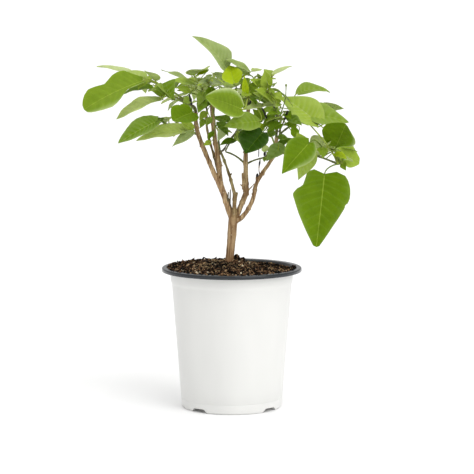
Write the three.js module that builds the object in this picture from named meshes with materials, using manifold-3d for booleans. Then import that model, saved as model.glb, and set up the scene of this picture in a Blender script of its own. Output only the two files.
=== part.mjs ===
// A young lilac grown as a little tree: one trunk, a fork of boughs, and leafy shoots, in a round
// nursery pot filled with potting mix. Millimetres, +Z up, +X to the right of the front view.
// The origin is on the ground under the middle of the pot's flat base.
import * as THREE from "three";
import { mergeVertices } from "three/addons/utils/BufferGeometryUtils.js";
import Module from "manifold-3d";

const wasm = await Module();
wasm.setup();

// ---------- driving dimensions ----------

const GAP = 0.3; // between pieces that meet

const pot = {
  height: 166,
  baseRadius: 59.2, // where the wall leaves the rounded corner
  cornerRadius: 2.4,
  draft: 0.0793, // how much the wall's radius grows per mm of height
  wall: 1.2,
  floor: 1.4,
  creaseHeight: 11, // top of the foot band
  creaseDepth: 0.4,
  shoulderHeight: 146,
  shoulderStep: 5, // height over which the wall steps out to the shoulder
  shoulderWidth: 1,
  rimRadius: 82.5,
  rimDrop: 4.4, // height of the turned-down lip
  rimThickness: 1.6,
  rimEdge: 0.4, // bevel along the lip's edges
  rimRound: 1.8, // rounding from the rim's top to its side
  mouthDepth: 3, // the wall flares out to the rim over this height
  mouthFlare: 3.4,
  sides: 40,
};
const notch = {
  count: 4,
  turn: 4.5, // degrees that the ring of notches is turned by
  height: 4.6,
  width: 25,
  slope: 5, // how far each cheek leans in over the notch's height
  inner: 44, // radius where the channel under the floor starts
  holeRadius: 3.2,
  holeSides: 10,
};
const soil = {
  level: 162.6, // mean height of the surface
  moundSpread: 24, // how far the heap round the trunk reaches
  lean: 0.035, // the surface rises towards -X by this much per mm
  lumps: 0.7,
  lumpLength: 5.5,
  seatRadius: 9.5, // level patch that the trunk stands on
  seatHeight: 172,
  rings: 6,
};

// Each limb grows through arcs. An arc has a length, and a bearing and a rise in degrees that may
// turn along it. Bearing 0 is +X and 90 is +Y, away from the front. Rise 90 is straight up.
const arc = (length, bearing, rise) => ({ length, bearing: [bearing].flat(), rise: [rise].flat() });

const limbs = {
  trunk: {
    start: [-2.4, 0, soil.seatHeight + GAP],
    radii: [4.7, 5.7],
    sides: 12,
    flare: { width: 2.6, height: 3.5 },
    arcs: [arc(4, 0, 90), arc(48, 0, [84, 86.5])],
  },
  bough_left: { start: [1.4, 0, 220], radii: [4.4, 3.8], sides: 10, arcs: [arc(54, 178, [77, 64])] },
  bough_left_outer: {
    start: [-15.4, -0.6, 268],
    radii: [3.1, 2.4],
    sides: 8,
    arcs: [arc(8, 188, [52, 60]), arc(51, 188, [66.5, 69]), arc(27, 188, [72, 96])],
  },
  bough_left_inner: {
    start: [-13.6, 1, 264],
    radii: [3.3, 2.6],
    sides: 8,
    arcs: [arc(22, 120, [84, 90]), arc(73, 165, [82, 84])],
  },
  bough_left_thin: { start: [-15, 3, 272], radii: [1.8, 1.3], sides: 6, arcs: [arc(80, [120, 168], [76, 78])] },
  bough_middle: {
    start: [3.4, 1, 220],
    radii: [3.4, 2.4],
    sides: 8,
    arcs: [arc(36.5, 10, [69, 66]), arc(12, 150, [89, 87]), arc(90, 14, [92, 84])],
  },
  bough_middle_thin: {
    start: [3.2, -1.5, 223],
    radii: [2.6, 1.3],
    sides: 6,
    arcs: [arc(31, 268, [78, 84]), arc(54, 192, [77, 66])],
  },
  bough_right: {
    start: [3.6, -0.5, 219],
    radii: [2.9, 2],
    sides: 8,
    arcs: [
      arc(12, 352, [22, 40]), arc(38.5, 352, [47, 87]), arc(10, 352, 70), arc(31.5, 350, [56, 58]),
      arc(24.5, 0, [74, 90]),
    ],
  },
};

// A blade has two lobes that reach back past the stalk.
const bladeShape = {
  thickness: 1.3, // along the midrib, thinning to the margin
  lobe: 0.1, // how far the lobes reach back, a share of the length
  lobeSpan: 0.34, // share of the length that the lobes take part in
  fold: 14, // each half is lifted from the midrib by this many degrees
  large: 42, // a blade of this length or more has more edges
  largeStations: [0, 0.045, 0.2, 0.46, 0.76, 1], // shares of the length that carry edges
  smallStations: [0, 0.06, 0.34, 0.72, 1],
};
const stalk = { radius: 0.75, sunk: 2.5, sides: 3, rings: 2, rise: 0.35 };
const ringEvery = { limb: 9, twig: 12 }; // mm between the rings of edges along a limb or a twig
const twig = { stemSides: 5, shootSides: 4, taper: 0.3 };

// What a leaf made by the rule may vary by. Angles are in degrees.
const growth = {
  spread: 62, // between the shoot's line and the stalk
  lift: 0.35, // pulls the stalk upward
  stalkShare: 0.34, // of the blade's length
  widthShare: 0.66,
  point: 0.58,
  rise: [-48, 8],
  bearingJitter: 24,
  roll: [-70, 70], // of the upper side, away from the leaf's own bearing
  tilt: [10, 50],
  droop: [12, 44],
  length: [0.82, 1.14],
  youngest: 0.5, // the last pair's length against the first pair's
  tries: 8,
  betweenLeaves: 1.6, // free space between a new blade and what is there already
  betweenMasses: 2.8,
  sampleStep: 5,
};

// A leaf that stands out is given in full: where its stalk starts along the shoot, where its blade
// starts, and the blade's length, width, bearing and rise. "faces" is the bearing that its upper
// side turns to, "tilt" how far that side is from level and "droop" how far the midrib bends.
// "point" is the power that draws the outline in: 0.5 gives a pointed heart, 0.75 a round leaf.
const leaf = (at, base, length, width, bearing, rise, faces, tilt, droop = 20, point = 0.6) => ({
  at, base, length, width, bearing, rise, faces, tilt, droop, point,
});

// A shoot leaves the stem at "from", a share of the stem's length, and carries opposite pairs of
// leaves, each pair a quarter turn from the last. "leaf" is the first pair's blade length, and
// "first" the share of the shoot where the pairs begin. "space" is the part of the crown that the
// mass keeps to: the centre and the half-axes of an ellipsoid.
const masses = {
  foliage_left: {
    bough: "bough_left_outer",
    seed: 3,
    space: { centre: [-96, 10, 366], reach: [70, 72, 34] },
    stem: { radius: 1.7, arcs: [arc(5, 190, 80), arc(35, 206, [36, 14])] },
    shoots: [
      {
        from: 1, radius: 1.2, arcs: [arc(13, [200, 180], [30, 50])], pairs: 2, first: 0.5, leaf: 24, turn: 20,
        leaves: [
          leaf(0.1, [-103, -22, 386], 78, 44, 201, -24, 258, 54, 26, 0.8),
          leaf(0, [-83, -26, 365], 57, 26, 196, -23, 264, 32, 30, 0.7),
          leaf(0.6, [-90, -14, 384], 26, 22, 246, 26, 262, 30, 20),
          leaf(0.9, [-101, -10, 385], 26, 18, 150, 20, 266, 34, 10),
        ],
      },
      {
        from: 0.8, radius: 1.1, arcs: [arc(14, [240, 262], [0, -10])], pairs: 0,
        leaves: [
          leaf(1, [-47, -40, 357], 31, 27, 228, -14, 262, 66, 12, 0.75),
          leaf(0.4, [-68, -24, 367], 30, 22, 222, 33, 282, 40, 10),
        ],
      },
      {
        from: 0.5, radius: 1.3, arcs: [arc(52, [136, 164], [34, 16])], pairs: 3, first: 0.4, leaf: 54, turn: 30,
        leaves: [leaf(1, [-120, 10, 395], 46, 24, 163, 9, 264, 16, 14)],
      },
    ],
  },
  foliage_left_low: {
    bough: "bough_left_outer",
    along: 0.68,
    seed: 8,
    space: { centre: [-90, 0, 328], reach: [46, 62, 26] },
    stem: { radius: 1.2, arcs: [arc(22, 196, [30, 14]), arc(20, 190, [14, 24])] },
    shoots: [
      {
        from: 1, radius: 1, arcs: [arc(7, 190, [20, 30])], pairs: 1, first: 0.9, leaf: 18, turn: 35,
        leaves: [leaf(0.2, [-86, -30, 340], 53, 31, 198, -28, 264, 56, 24, 0.68)],
      },
      {
        from: 0.16, radius: 0.9, arcs: [arc(8, 210, [0, -10])], pairs: 0,
        leaves: [
          leaf(1, [-52, -16, 329], 62, 30, 195, -11, 264, 30, 26),
          leaf(0.6, [-45, -26, 327], 32, 15, 210, -30, 262, 40, 14),
        ],
      },
      { from: 0.5, radius: 1, arcs: [arc(26, [140, 120], [14, 4])], pairs: 2, first: 0.5, leaf: 46, turn: 10 },
    ],
  },
  foliage_left_top: {
    bough: "bough_left_thin",
    seed: 5,
    space: { centre: [-56, 46, 372], reach: [52, 80, 30] },
    stem: { radius: 1.2, arcs: [arc(26, [200, 180], [74, 80])] },
    shoots: [
      {
        from: 1, radius: 1, arcs: [arc(9, 190, [60, 80])], pairs: 2, first: 0.4, leaf: 24, turn: 55,
        leaves: [
          leaf(0.8, [-44, 2, 389], 38, 32, 297, 13, 262, 16, 14, 0.66),
          leaf(0.5, [-56, 14, 388], 33, 18, 150, 15, 262, 20, 12),
          leaf(0.2, [-45, -2, 381], 30, 20, 206, 10, 266, 26, 16),
        ],
      },
      {
        from: 0.3, radius: 1.2, arcs: [arc(62, [104, 120], [30, 2])], pairs: 3, first: 0.45, leaf: 56, turn: 20,
      },
      { from: 0.6, radius: 1, arcs: [arc(30, [160, 172], [20, 8])], pairs: 2, first: 0.5, leaf: 34, turn: 80 },
    ],
  },
  foliage_inner: {
    bough: "bough_left_inner",
    seed: 21,
    space: { centre: [-14, 22, 370], reach: [38, 104, 30] },
    stem: { radius: 1.6, arcs: [arc(16, [200, 240], [84, 72])] },
    shoots: [
      {
        from: 1, radius: 1.2, arcs: [arc(34, [262, 272], [30, 4])], pairs: 3, first: 0.4, leaf: 36, turn: 40,
        leaves: [leaf(0.1, [-11, 8, 381], 37, 30, 220, 2, 268, 24, 24)],
      },
      { from: 0.4, radius: 1.3, arcs: [arc(74, [84, 96], [26, 2])], pairs: 4, first: 0.35, leaf: 56, turn: 10 },
    ],
  },
  foliage_thin_middle: {
    bough: "bough_middle_thin",
    seed: 13,
    space: { centre: [-10, -12, 322], reach: [20, 26, 20] },
    stem: { radius: 1.1, arcs: [arc(22, [150, 80], [80, 74])] },
    shoots: [
      {
        from: 1, radius: 0.9, arcs: [arc(10, [240, 250], [50, 20])], pairs: 1, first: 0.9, leaf: 22, turn: 30,
        leaves: [
          leaf(0.5, [-7, -14, 332], 19, 13, 190, -60, 262, 60, 10),
          leaf(0.1, [-4, 12, 337], 24, 17, 141, 10, 262, 30, 12),
        ],
      },
    ],
  },
  foliage_twig_left: {
    bough: "bough_middle",
    along: 0.5,
    seed: 17,
    space: { centre: [2, -24, 318], reach: [18, 22, 16] },
    stem: { radius: 1.1, arcs: [arc(30, [186, 200], [52, 14]), arc(28, [330, 350], [64, 56])] },
    shoots: [
      {
        from: 0.96, radius: 0.8, arcs: [arc(6, 300, [50, 40])], pairs: 1, first: 0.9, leaf: 16, turn: 80,
        leaves: [leaf(0, [3, -20, 317], 20, 13, 210, -14, 262, 40, 10)],
      },
    ],
  },
  foliage_twig_right: {
    bough: "bough_middle",
    along: 0.5,
    seed: 19,
    space: { centre: [50, -34, 306], reach: [24, 26, 20] },
    stem: { radius: 1.1, arcs: [arc(26, [330, 324], [50, 8]), arc(18, 320, [14, 30])] },
    shoots: [
      {
        from: 1, radius: 0.8, arcs: [arc(6, 320, 60)], pairs: 1, first: 0.9, leaf: 20, turn: 45,
        leaves: [leaf(0.3, [58, -34, 312], 28, 20, 214, -38, 262, 54, 10)],
      },
    ],
  },
  foliage_top: {
    bough: "bough_middle",
    seed: 29,
    space: { centre: [16, 26, 372], reach: [46, 104, 32] },
    stem: { radius: 1.7, arcs: [arc(22, [190, 206], [80, 56])] },
    shoots: [
      {
        from: 1, radius: 1.2, arcs: [arc(12, 190, [80, 84])], pairs: 2, first: 0.5, leaf: 24, turn: 25,
        leaves: [
          leaf(0.6, [-7, -6, 400], 55, 36, 195, 43, 262, 34, 50, 0.56),
          leaf(0.9, [21, 6, 396], 36, 24, 210, 23, 262, 34, 14),
          leaf(1, [25, 8, 396], 17, 12, 50, 6, 262, 30, 10),
          leaf(0.5, [1, -22, 382], 26, 22, 105, 40, 262, 56, 10),
        ],
      },
      {
        from: 0.3, radius: 1.2, arcs: [arc(30, [282, 262], [20, -6])], pairs: 3, first: 0.4, leaf: 28, turn: 5,
        leaves: [
          leaf(0.95, [11, -46, 355], 51, 38, 213, 18, 252, 60, 16, 0.66),
          leaf(0.7, [31, -38, 340], 44, 28, 204, -6, 266, 54, 20, 0.66),
        ],
      },
      {
        from: 0.2, radius: 1.3, arcs: [arc(82, [76, 88], [26, 4])], pairs: 4, first: 0.3, leaf: 58, turn: 35,
        leaves: [leaf(0.15, [12, 20, 361], 29, 20, 329, -17, 262, 60, 14)],
      },
    ],
  },
  foliage_right: {
    bough: "bough_right",
    seed: 37,
    space: { centre: [46, -14, 356], reach: [28, 48, 44] },
    stem: { radius: 1.6, arcs: [arc(24, [318, 280], [84, 88]), arc(30, 200, [72, 66])] },
    shoots: [
      {
        from: 1, radius: 1, arcs: [arc(18, [320, 350], [70, 82])], pairs: 1, first: 0.3, leaf: 22, turn: 10,
        leaves: [
          leaf(1, [49, -4, 391], 25, 13, 21, 22, 264, 16, 16),
          leaf(0.95, [47, -2, 391], 20, 13, 120, 20, 268, 26, 6),
          leaf(0, [42, -20, 378], 23, 15, 109, 60, 262, 70, 6),
          leaf(0.2, [40, -4, 377], 24, 16, 208, 27, 262, 50, 10),
        ],
      },
      {
        from: 0.8, radius: 1, arcs: [arc(22, [262, 250], [40, 20])], pairs: 3, first: 0.3, leaf: 30, turn: 60,
        leaves: [
          leaf(0.6, [46, -28, 364], 31, 24, 226, 26, 266, 44, 10),
          leaf(0.1, [55, -12, 360], 38, 20, 210, 20, 272, 56, 16),
        ],
      },
      {
        from: 0.35, radius: 1, arcs: [arc(26, [290, 270], [20, 0])], pairs: 3, first: 0.4, leaf: 26, turn: 15,
        leaves: [
          leaf(0.8, [36, -42, 328], 34, 31, 213, -44, 262, 66, 12),
          leaf(0.5, [56, -34, 337], 23, 15, 223, -22, 262, 50, 14),
        ],
      },
      {
        from: 0.5, radius: 0.9, arcs: [arc(12, [330, 340], [20, 10])], pairs: 1, first: 0.9, leaf: 20, turn: 45,
        leaves: [leaf(1, [66, -20, 344], 23, 14, 316, -22, 262, 44, 18)],
      },
    ],
  },
  foliage_right_back: {
    bough: "bough_right",
    along: 0.84,
    seed: 43,
    space: { centre: [84, 50, 348], reach: [62, 70, 30] },
    stem: { radius: 1.5, arcs: [arc(30, [80, 60], [60, 30]), arc(30, [50, 30], [30, 16])] },
    shoots: [
      { from: 1, radius: 1.1, arcs: [arc(36, [24, 12], [16, 0])], pairs: 3, first: 0.4, leaf: 50, turn: 25 },
      { from: 0.45, radius: 1.2, arcs: [arc(54, [84, 96], [34, 8])], pairs: 3, first: 0.4, leaf: 56, turn: 70 },
      {
        from: 0.8, radius: 1, arcs: [arc(24, [70, 90], [70, 60])], pairs: 0,
        leaves: [leaf(1, [79, 28, 369], 41, 30, 22, 0, 262, 24, 56, 0.66)],
      },
    ],
  },
  foliage_right_hanging: {
    bough: "bough_right",
    along: 0.82,
    seed: 41,
    space: { centre: [114, -2, 306], reach: [42, 62, 38] },
    stem: { radius: 1.5, arcs: [arc(48, [345, 342], [14, -12]), arc(30, 352, [-16, -24])] },
    shoots: [
      {
        from: 1, radius: 1.1, arcs: [arc(5, 340, [0, 20])], pairs: 1, first: 0.9, leaf: 16, turn: 30,
        leaves: [
          leaf(0.2, [108, -26, 278.5], 86, 70, 205, -83, 272, 84, 10, 0.48),
          leaf(0.3, [100.5, -12, 336], 59, 46, 149, 31, 276, 34, 20, 0.66),
          leaf(0.6, [118.5, -32, 309], 37, 41, 290, 44, 272, 62, -10, 0.75),
          leaf(0.9, [123, -12, 302], 35, 32, 34, -20, 274, 62, 16, 0.75),
          leaf(0.1, [90, -4, 346], 50, 36, 14, -12, 276, 44, 26, 0.62),
        ],
      },
      {
        from: 0.56, radius: 1, arcs: [arc(26, [290, 330], [26, 10])], pairs: 1, first: 0.9, leaf: 22, turn: 15,
        leaves: [
          leaf(0.95, [89, -58, 317], 49, 38, 204, -45, 268, 60, 12),
          leaf(0.6, [94, -34, 307], 38, 24, 195, -66, 268, 76, 10),
        ],
      },
      { from: 0.75, radius: 1, arcs: [arc(26, [60, 50], [20, 6])], pairs: 2, first: 0.45, leaf: 44, turn: 70 },
    ],
  },
};

// ---------- materials ----------

const paint = (colour, roughness) => new THREE.MeshStandardMaterial({ color: colour, roughness, metalness: 0 });
const materials = {
  potPlastic: paint(0xf1f1ee, 0.35),
  pottingMix: paint(0x3c2c22, 0.95),
  bark: paint(0x9c8563, 0.8),
  foliage: paint(0x7fa02c, 0.5),
};

// ---------- growing: headings, paths and seeded chance ----------

const radians = THREE.MathUtils.degToRad;
const vector = (xyz) => new THREE.Vector3(...xyz);

function heading(bearing, rise) {
  const [b, r] = [radians(bearing), radians(rise)];
  return new THREE.Vector3(Math.cos(r) * Math.cos(b), Math.cos(r) * Math.sin(b), Math.sin(r));
}

const turned = (angles, share) => angles[0] + share * (angles.at(-1) - angles[0]);

// Walks along the arcs in steps of about 1 mm and returns every point.
function grow(start, arcs) {
  const points = [start.clone()];
  for (const { length, bearing, rise } of arcs) {
    const steps = Math.max(4, Math.round(length));
    for (let i = 0; i < steps; i++) {
      const share = (i + 0.5) / steps;
      const step = heading(turned(bearing, share), turned(rise, share)).multiplyScalar(length / steps);
      points.push(points.at(-1).clone().add(step));
    }
  }
  return points;
}

function pointAt(path, share) {
  const place = share * (path.length - 1);
  const low = Math.min(Math.floor(place), path.length - 2);
  return path[low].clone().lerp(path[low + 1], place - low);
}

function lineAt(path, share) {
  const reach = 1.5 / (path.length - 1);
  const ahead = pointAt(path, Math.min(1, share + reach));
  return ahead.sub(pointAt(path, Math.max(0, share - reach))).normalize();
}

// The same seed always gives the same run of numbers from 0 to 1.
function chance(seed) {
  let state = seed >>> 0;
  return () => {
    state = (state + 0x6d2b79f5) >>> 0;
    let t = Math.imul(state ^ (state >>> 15), 1 | state);
    t = (t + Math.imul(t ^ (t >>> 7), 61 | t)) ^ t;
    return ((t ^ (t >>> 14)) >>> 0) / 4294967296;
  };
}

const within = (random, [low, high]) => low + (high - low) * random();

// ---------- solids ----------

function solidOf(geometry) {
  for (const name of ["normal", "uv"]) geometry.deleteAttribute(name);
  const merged = mergeVertices(geometry, 1e-4);
  return new wasm.Manifold(
    new wasm.Mesh({
      numProp: 3,
      vertProperties: merged.attributes.position.array,
      triVerts: new Uint32Array(merged.index.array),
    }),
  );
}

function meshOf(name, solid, material) {
  const { vertProperties, triVerts } = solid.getMesh();
  const geometry = new THREE.BufferGeometry()
    .setAttribute("position", new THREE.BufferAttribute(vertProperties, 3))
    .setIndex(new THREE.BufferAttribute(triVerts, 1));
  geometry.computeVertexNormals();
  const mesh = new THREE.Mesh(geometry, material);
  mesh.name = name;
  return mesh;
}

const joined = (solids) => wasm.Manifold.union(solids);

// The body of a solid without the scraps that a cut may have left.
function body(solid) {
  return solid.decompose().reduce((a, b) => (b.volume() > a.volume() ? b : a));
}

// A cylinder bent along a path. radiusAt takes the share of the length, and "over" lengthens it
// at both ends.
function tube(path, radiusAt, sides, rings, over = 0) {
  const geometry = new THREE.CylinderGeometry(1, 1, 1, sides, rings);
  const position = geometry.attributes.position;
  const side = new THREE.Vector3(1, 0, 0);
  if (Math.abs(lineAt(path, 0).x) > 0.9) side.set(0, 1, 0);
  const frames = [];
  for (let i = 0; i <= rings; i++) {
    const line = lineAt(path, i / rings);
    side.addScaledVector(line, -side.dot(line)).normalize();
    const ends = (i === rings ? over : 0) - (i === 0 ? over : 0);
    const at = pointAt(path, i / rings).addScaledVector(line, ends);
    frames.push({ at, side: side.clone(), across: side.clone().cross(line) });
  }
  for (let v = 0; v < position.count; v++) {
    const share = position.getY(v) + 0.5;
    const frame = frames[Math.round(share * rings)];
    const moved = frame.at.clone();
    moved.addScaledVector(frame.side, position.getX(v) * radiusAt(share));
    moved.addScaledVector(frame.across, position.getZ(v) * radiusAt(share));
    position.setXYZ(v, moved.x, moved.y, moved.z);
  }
  return solidOf(geometry);
}

// ---------- pot and potting mix ----------

const wallRadius = (z) => pot.baseRadius + pot.draft * (z - pot.cornerRadius);
const lathe = (profile) => new THREE.LatheGeometry(
  profile.map(([r, z]) => new THREE.Vector2(r, z)), pot.sides,
).rotateX(Math.PI / 2);

function potOutside() {
  const { shoulderHeight, shoulderStep, shoulderWidth, rimRadius, rimThickness, rimEdge, rimRound } = pot;
  const under = pot.height - rimThickness;
  const lip = pot.height - pot.rimDrop;
  const crease = wallRadius(pot.creaseHeight);
  const corner = pot.cornerRadius * (1 - Math.SQRT1_2);
  return solidOf(lathe([
    [0, 0],
    [pot.baseRadius - pot.cornerRadius, 0],
    [pot.baseRadius - corner, corner],
    [pot.baseRadius, pot.cornerRadius],
    [crease - pot.creaseDepth, pot.creaseHeight],
    [crease, pot.creaseHeight + pot.creaseDepth],
    [wallRadius(shoulderHeight), shoulderHeight],
    [wallRadius(shoulderHeight + shoulderStep) + shoulderWidth, shoulderHeight + shoulderStep],
    [wallRadius(lip) + shoulderWidth, lip],
    [rimRadius - rimEdge, lip],
    [rimRadius, lip + 2 * rimEdge],
    [rimRadius - rimEdge, under + rimEdge],
    [rimRadius - rimRound, pot.height],
    [0, pot.height],
  ]));
}

// The space inside the pot.
function potInside() {
  const inner = (z) => wallRadius(z) - pot.wall;
  const mouth = pot.height - pot.mouthDepth;
  return solidOf(lathe([
    [0, pot.floor],
    [inner(0) - pot.cornerRadius, pot.floor],
    [inner(pot.cornerRadius), pot.cornerRadius + pot.floor],
    [inner(mouth), mouth],
    [inner(mouth) + pot.mouthFlare, pot.height],
    [inner(mouth) + pot.mouthFlare, pot.height + pot.rimDrop],
    [0, pot.height + pot.rimDrop],
  ]));
}

// One of something for each notch, turned to its place.
function ring(geometry) {
  const turns = Array.from({ length: notch.count }, (_, i) => notch.turn + (360 * (i + 0.5)) / notch.count);
  return joined(turns.map((turn) => solidOf(geometry.clone().rotateZ(radians(turn)))));
}

// The drain notches under the wall, with sloping cheeks, grown on every side by "extra".
function notches(extra) {
  const half = notch.width / 2 + extra;
  const outline = new THREE.Shape([
    new THREE.Vector2(-half, -pot.rimDrop),
    new THREE.Vector2(half, -pot.rimDrop),
    new THREE.Vector2(half, 0),
    new THREE.Vector2(half - notch.slope, notch.height + extra),
    new THREE.Vector2(notch.slope - half, notch.height + extra),
    new THREE.Vector2(-half, 0),
  ]);
  const inner = notch.inner - extra;
  const channel = new THREE.ExtrudeGeometry(outline, { depth: pot.rimRadius - inner, bevelEnabled: false });
  return ring(channel.rotateX(Math.PI / 2).rotateZ(Math.PI).translate(0, inner, 0));
}

function drainHoles() {
  const hole = new THREE.CylinderGeometry(notch.holeRadius, notch.holeRadius, 4 * pot.floor, notch.holeSides);
  return ring(hole.rotateX(Math.PI / 2).translate(0, (notch.inner + pot.baseRadius) / 2, notch.height));
}

function makePot() {
  const room = potInside().subtract(notches(pot.wall));
  return potOutside().subtract(notches(0)).subtract(room).subtract(drainHoles());
}

// The open surface is uneven and leans a little. It rises to the level seat under the trunk.
function soilHeight(x, y) {
  const beyondSeat = Math.max(0, Math.hypot(x - limbs.trunk.start[0], y) - soil.seatRadius);
  const lumps = soil.lumps * Math.sin(x / soil.lumpLength + 1) * Math.cos(y / soil.lumpLength);
  const open = soil.level - soil.lean * x + lumps;
  return open + (soil.seatHeight - open) * Math.exp(-((beyondSeat / soil.moundSpread) ** 2));
}

function makeSoil() {
  const top = pot.height + pot.rimDrop;
  const inner = (z) => wallRadius(z) - pot.wall - 2 * GAP;
  const edge = inner(soil.level - pot.rimDrop);
  const seat = soil.seatRadius + Math.abs(limbs.trunk.start[0]);
  const rings = Array.from({ length: soil.rings }, (_, i) => edge + ((seat - edge) * i) / (soil.rings - 1));
  const geometry = lathe([
    [0, pot.floor + GAP],
    [inner(0) - pot.cornerRadius, pot.floor + GAP],
    [inner(pot.cornerRadius), pot.cornerRadius + pot.floor + GAP],
    ...rings.map((radius) => [radius, top]),
    [0, top],
  ]);
  const position = geometry.attributes.position;
  for (let v = 0; v < position.count; v++) {
    const [x, y] = [position.getX(v), position.getY(v)];
    if (position.getZ(v) > pot.height) position.setZ(v, soilHeight(x, y));
  }
  return solidOf(geometry).subtract(notches(pot.wall + GAP));
}

// ---------- limbs ----------

function limbPath({ start, arcs }) {
  return grow(vector(start), arcs);
}

function limbRadius({ radii, flare }, path) {
  const length = path.length - 1;
  return (share) => {
    const swell = flare ? flare.width * Math.exp((-share * length) / flare.height) : 0;
    return radii[0] + share * (radii[1] - radii[0]) + swell;
  };
}

// Each limb is cut clear of the ones before it.
function makeLimbs() {
  const made = {};
  for (const [name, limb] of Object.entries(limbs)) {
    const path = limbPath(limb);
    const radiusAt = limbRadius(limb, path);
    const rings = Math.round(path.length / ringEvery.limb);
    const cutter = tube(path, (share) => radiusAt(share) + GAP, limb.sides, rings, GAP);
    let solid = tube(path, radiusAt, limb.sides, rings);
    for (const earlier of Object.values(made)) solid = solid.subtract(earlier.cutter);
    made[name] = { path, radiusAt, solid: body(solid), cutter };
  }
  return made;
}

// ---------- leaves ----------

// The blade's own directions: along the midrib, out of its upper side and across.
function bladeFrame({ bearing, rise, faces, tilt }) {
  const along = heading(bearing, rise);
  const normal = heading(faces, 90 - tilt);
  normal.addScaledVector(along, -normal.dot(along)).normalize();
  return { along, normal, across: along.clone().cross(normal) };
}

// A point of the blade: "share" of the way from base to tip, and "side" from -1 to 1 across.
function bladePoint(blade, frame, share, side) {
  const turn = radians(Math.sign(blade.droop || 1) * Math.max(1, Math.abs(blade.droop)));
  const scale = blade.length / (2 * Math.sin(turn / 2));
  const here = turn * (0.5 - share);
  const forward = scale * (Math.sin(turn / 2) - Math.sin(here));
  const upward = scale * (Math.cos(here) - Math.cos(turn / 2));
  const half = (blade.width / 2) * Math.sin(Math.PI * share ** blade.point) * side;
  const back = bladeShape.lobe * blade.length * Math.max(0, 1 - share / bladeShape.lobeSpan) ** 2;
  const fold = radians(bladeShape.fold);
  const line = frame.along.clone().multiplyScalar(Math.cos(here)).addScaledVector(frame.normal, Math.sin(here));
  const up = frame.normal.clone().multiplyScalar(Math.cos(here)).addScaledVector(frame.along, -Math.sin(here));
  return vector(blade.base)
    .addScaledVector(frame.along, forward)
    .addScaledVector(frame.normal, upward)
    .addScaledVector(frame.across, half * Math.cos(fold))
    .addScaledVector(up, Math.abs(half) * Math.sin(fold))
    .addScaledVector(line, share > 0 ? -back * Math.abs(side) : 0);
}

// A thin lens: a sphere of four sides whose poles are the blade's base and tip.
function bladeSolid(blade) {
  const frame = bladeFrame(blade);
  const { large, largeStations, smallStations, thickness } = bladeShape;
  const stations = blade.length < large ? smallStations : largeStations;
  const sides = 4;
  const geometry = new THREE.SphereGeometry(1, sides, stations.length - 1);
  const position = geometry.attributes.position;
  const places = [[-1, 0], [0, 1], [1, 0], [0, -1]]; // left margin, upper rib, right margin, lower rib
  for (let v = 0; v < position.count; v++) {
    const station = stations.length - 1 - Math.floor(v / (sides + 1));
    const pole = station === 0 || station === stations.length - 1;
    const [side, lift] = pole ? [0, 0] : places[v % (sides + 1) % sides];
    const point = bladePoint(blade, frame, stations[station], side);
    point.addScaledVector(frame.normal, (lift * thickness) / 2);
    position.setXYZ(v, point.x, point.y, point.z);
  }
  return solidOf(geometry);
}

// A stalk leaves the shoot upward and runs into the blade along its midrib.
function stalkPath(from, blade) {
  const base = vector(blade.base);
  const along = bladeFrame(blade).along;
  const reach = from.distanceTo(base);
  const start = from.clone().lerp(base, stalk.rise);
  start.z += reach * stalk.rise * 0.5;
  const end = base.clone().addScaledVector(along, -reach * stalk.rise);
  const curve = new THREE.CubicBezierCurve3(from, start, end, base);
  return [...curve.getPoints(Math.max(4, Math.round(reach))), base.clone().addScaledVector(along, stalk.sunk)];
}

const leafSolids = (grown) => [
  bladeSolid(grown.blade),
  tube(grown.stalk, () => stalk.radius, stalk.sides, stalk.rings),
];

// ---------- what is already in the crown ----------

const CELL = 9; // side of the cells that the points are kept in

function makeCrowd() {
  const cells = new Map();
  const keyOf = (x, y, z) => `${Math.floor(x / CELL)},${Math.floor(y / CELL)},${Math.floor(z / CELL)}`;
  return {
    add(point, radius, owner) {
      const key = keyOf(point.x, point.y, point.z);
      if (!cells.has(key)) cells.set(key, []);
      cells.get(key).push({ point, radius, owner });
    },
    // Whether a point comes too near to anything that is there.
    touches(point, owner) {
      for (const x of [-CELL, 0, CELL]) {
        for (const y of [-CELL, 0, CELL]) {
          for (const z of [-CELL, 0, CELL]) {
            const near = cells.get(keyOf(point.x + x, point.y + y, point.z + z)) ?? [];
            for (const other of near) {
              const free = other.owner === owner ? growth.betweenLeaves : growth.betweenMasses;
              if (other.point.distanceTo(point) < other.radius + free) return true;
            }
          }
        }
      }
      return false;
    },
  };
}

function bladeSamples(blade) {
  const frame = bladeFrame(blade);
  const rows = Math.ceil(blade.length / growth.sampleStep);
  const columns = Math.ceil(blade.width / growth.sampleStep);
  const samples = [];
  for (let row = 0; row <= rows; row++) {
    for (let column = 0; column <= columns; column++) {
      samples.push(bladePoint(blade, frame, (row + 0.3) / (rows + 0.3), (2 * column) / columns - 1));
    }
  }
  return samples;
}

function inside(space, point) {
  const scaled = point.clone().sub(vector(space.centre)).divide(vector(space.reach));
  return scaled.length() <= 1;
}

// ---------- masses of leaves ----------

// The stem starts just clear of its bough's tip, or inside the bough, which is cut from it later.
function stemPath({ bough, along = 1, stem }, grownLimbs) {
  const { path } = grownLimbs[bough];
  const start = pointAt(path, along);
  if (along === 1) start.addScaledVector(lineAt(path, 1), GAP);
  return grow(start, stem.arcs);
}

function addPath(crowd, path, radius, owner) {
  for (let i = 0; i < path.length; i += 3) crowd.add(path[i], radius, owner);
}

function makeTwigs(name, mass, grownLimbs, crowd) {
  const stem = stemPath(mass, grownLimbs);
  addPath(crowd, stem, mass.stem.radius, name);
  const shoots = mass.shoots.map((shoot) => {
    const path = grow(pointAt(stem, shoot.from), shoot.arcs);
    addPath(crowd, path, shoot.radius, name);
    return path;
  });
  return { stem, shoots };
}

function keepLeaf(grown, name, crowd, leaves) {
  for (const sample of bladeSamples(grown.blade)) crowd.add(sample, 0, name);
  addPath(crowd, grown.stalk, stalk.radius, name);
  leaves.push(grown);
}

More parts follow.
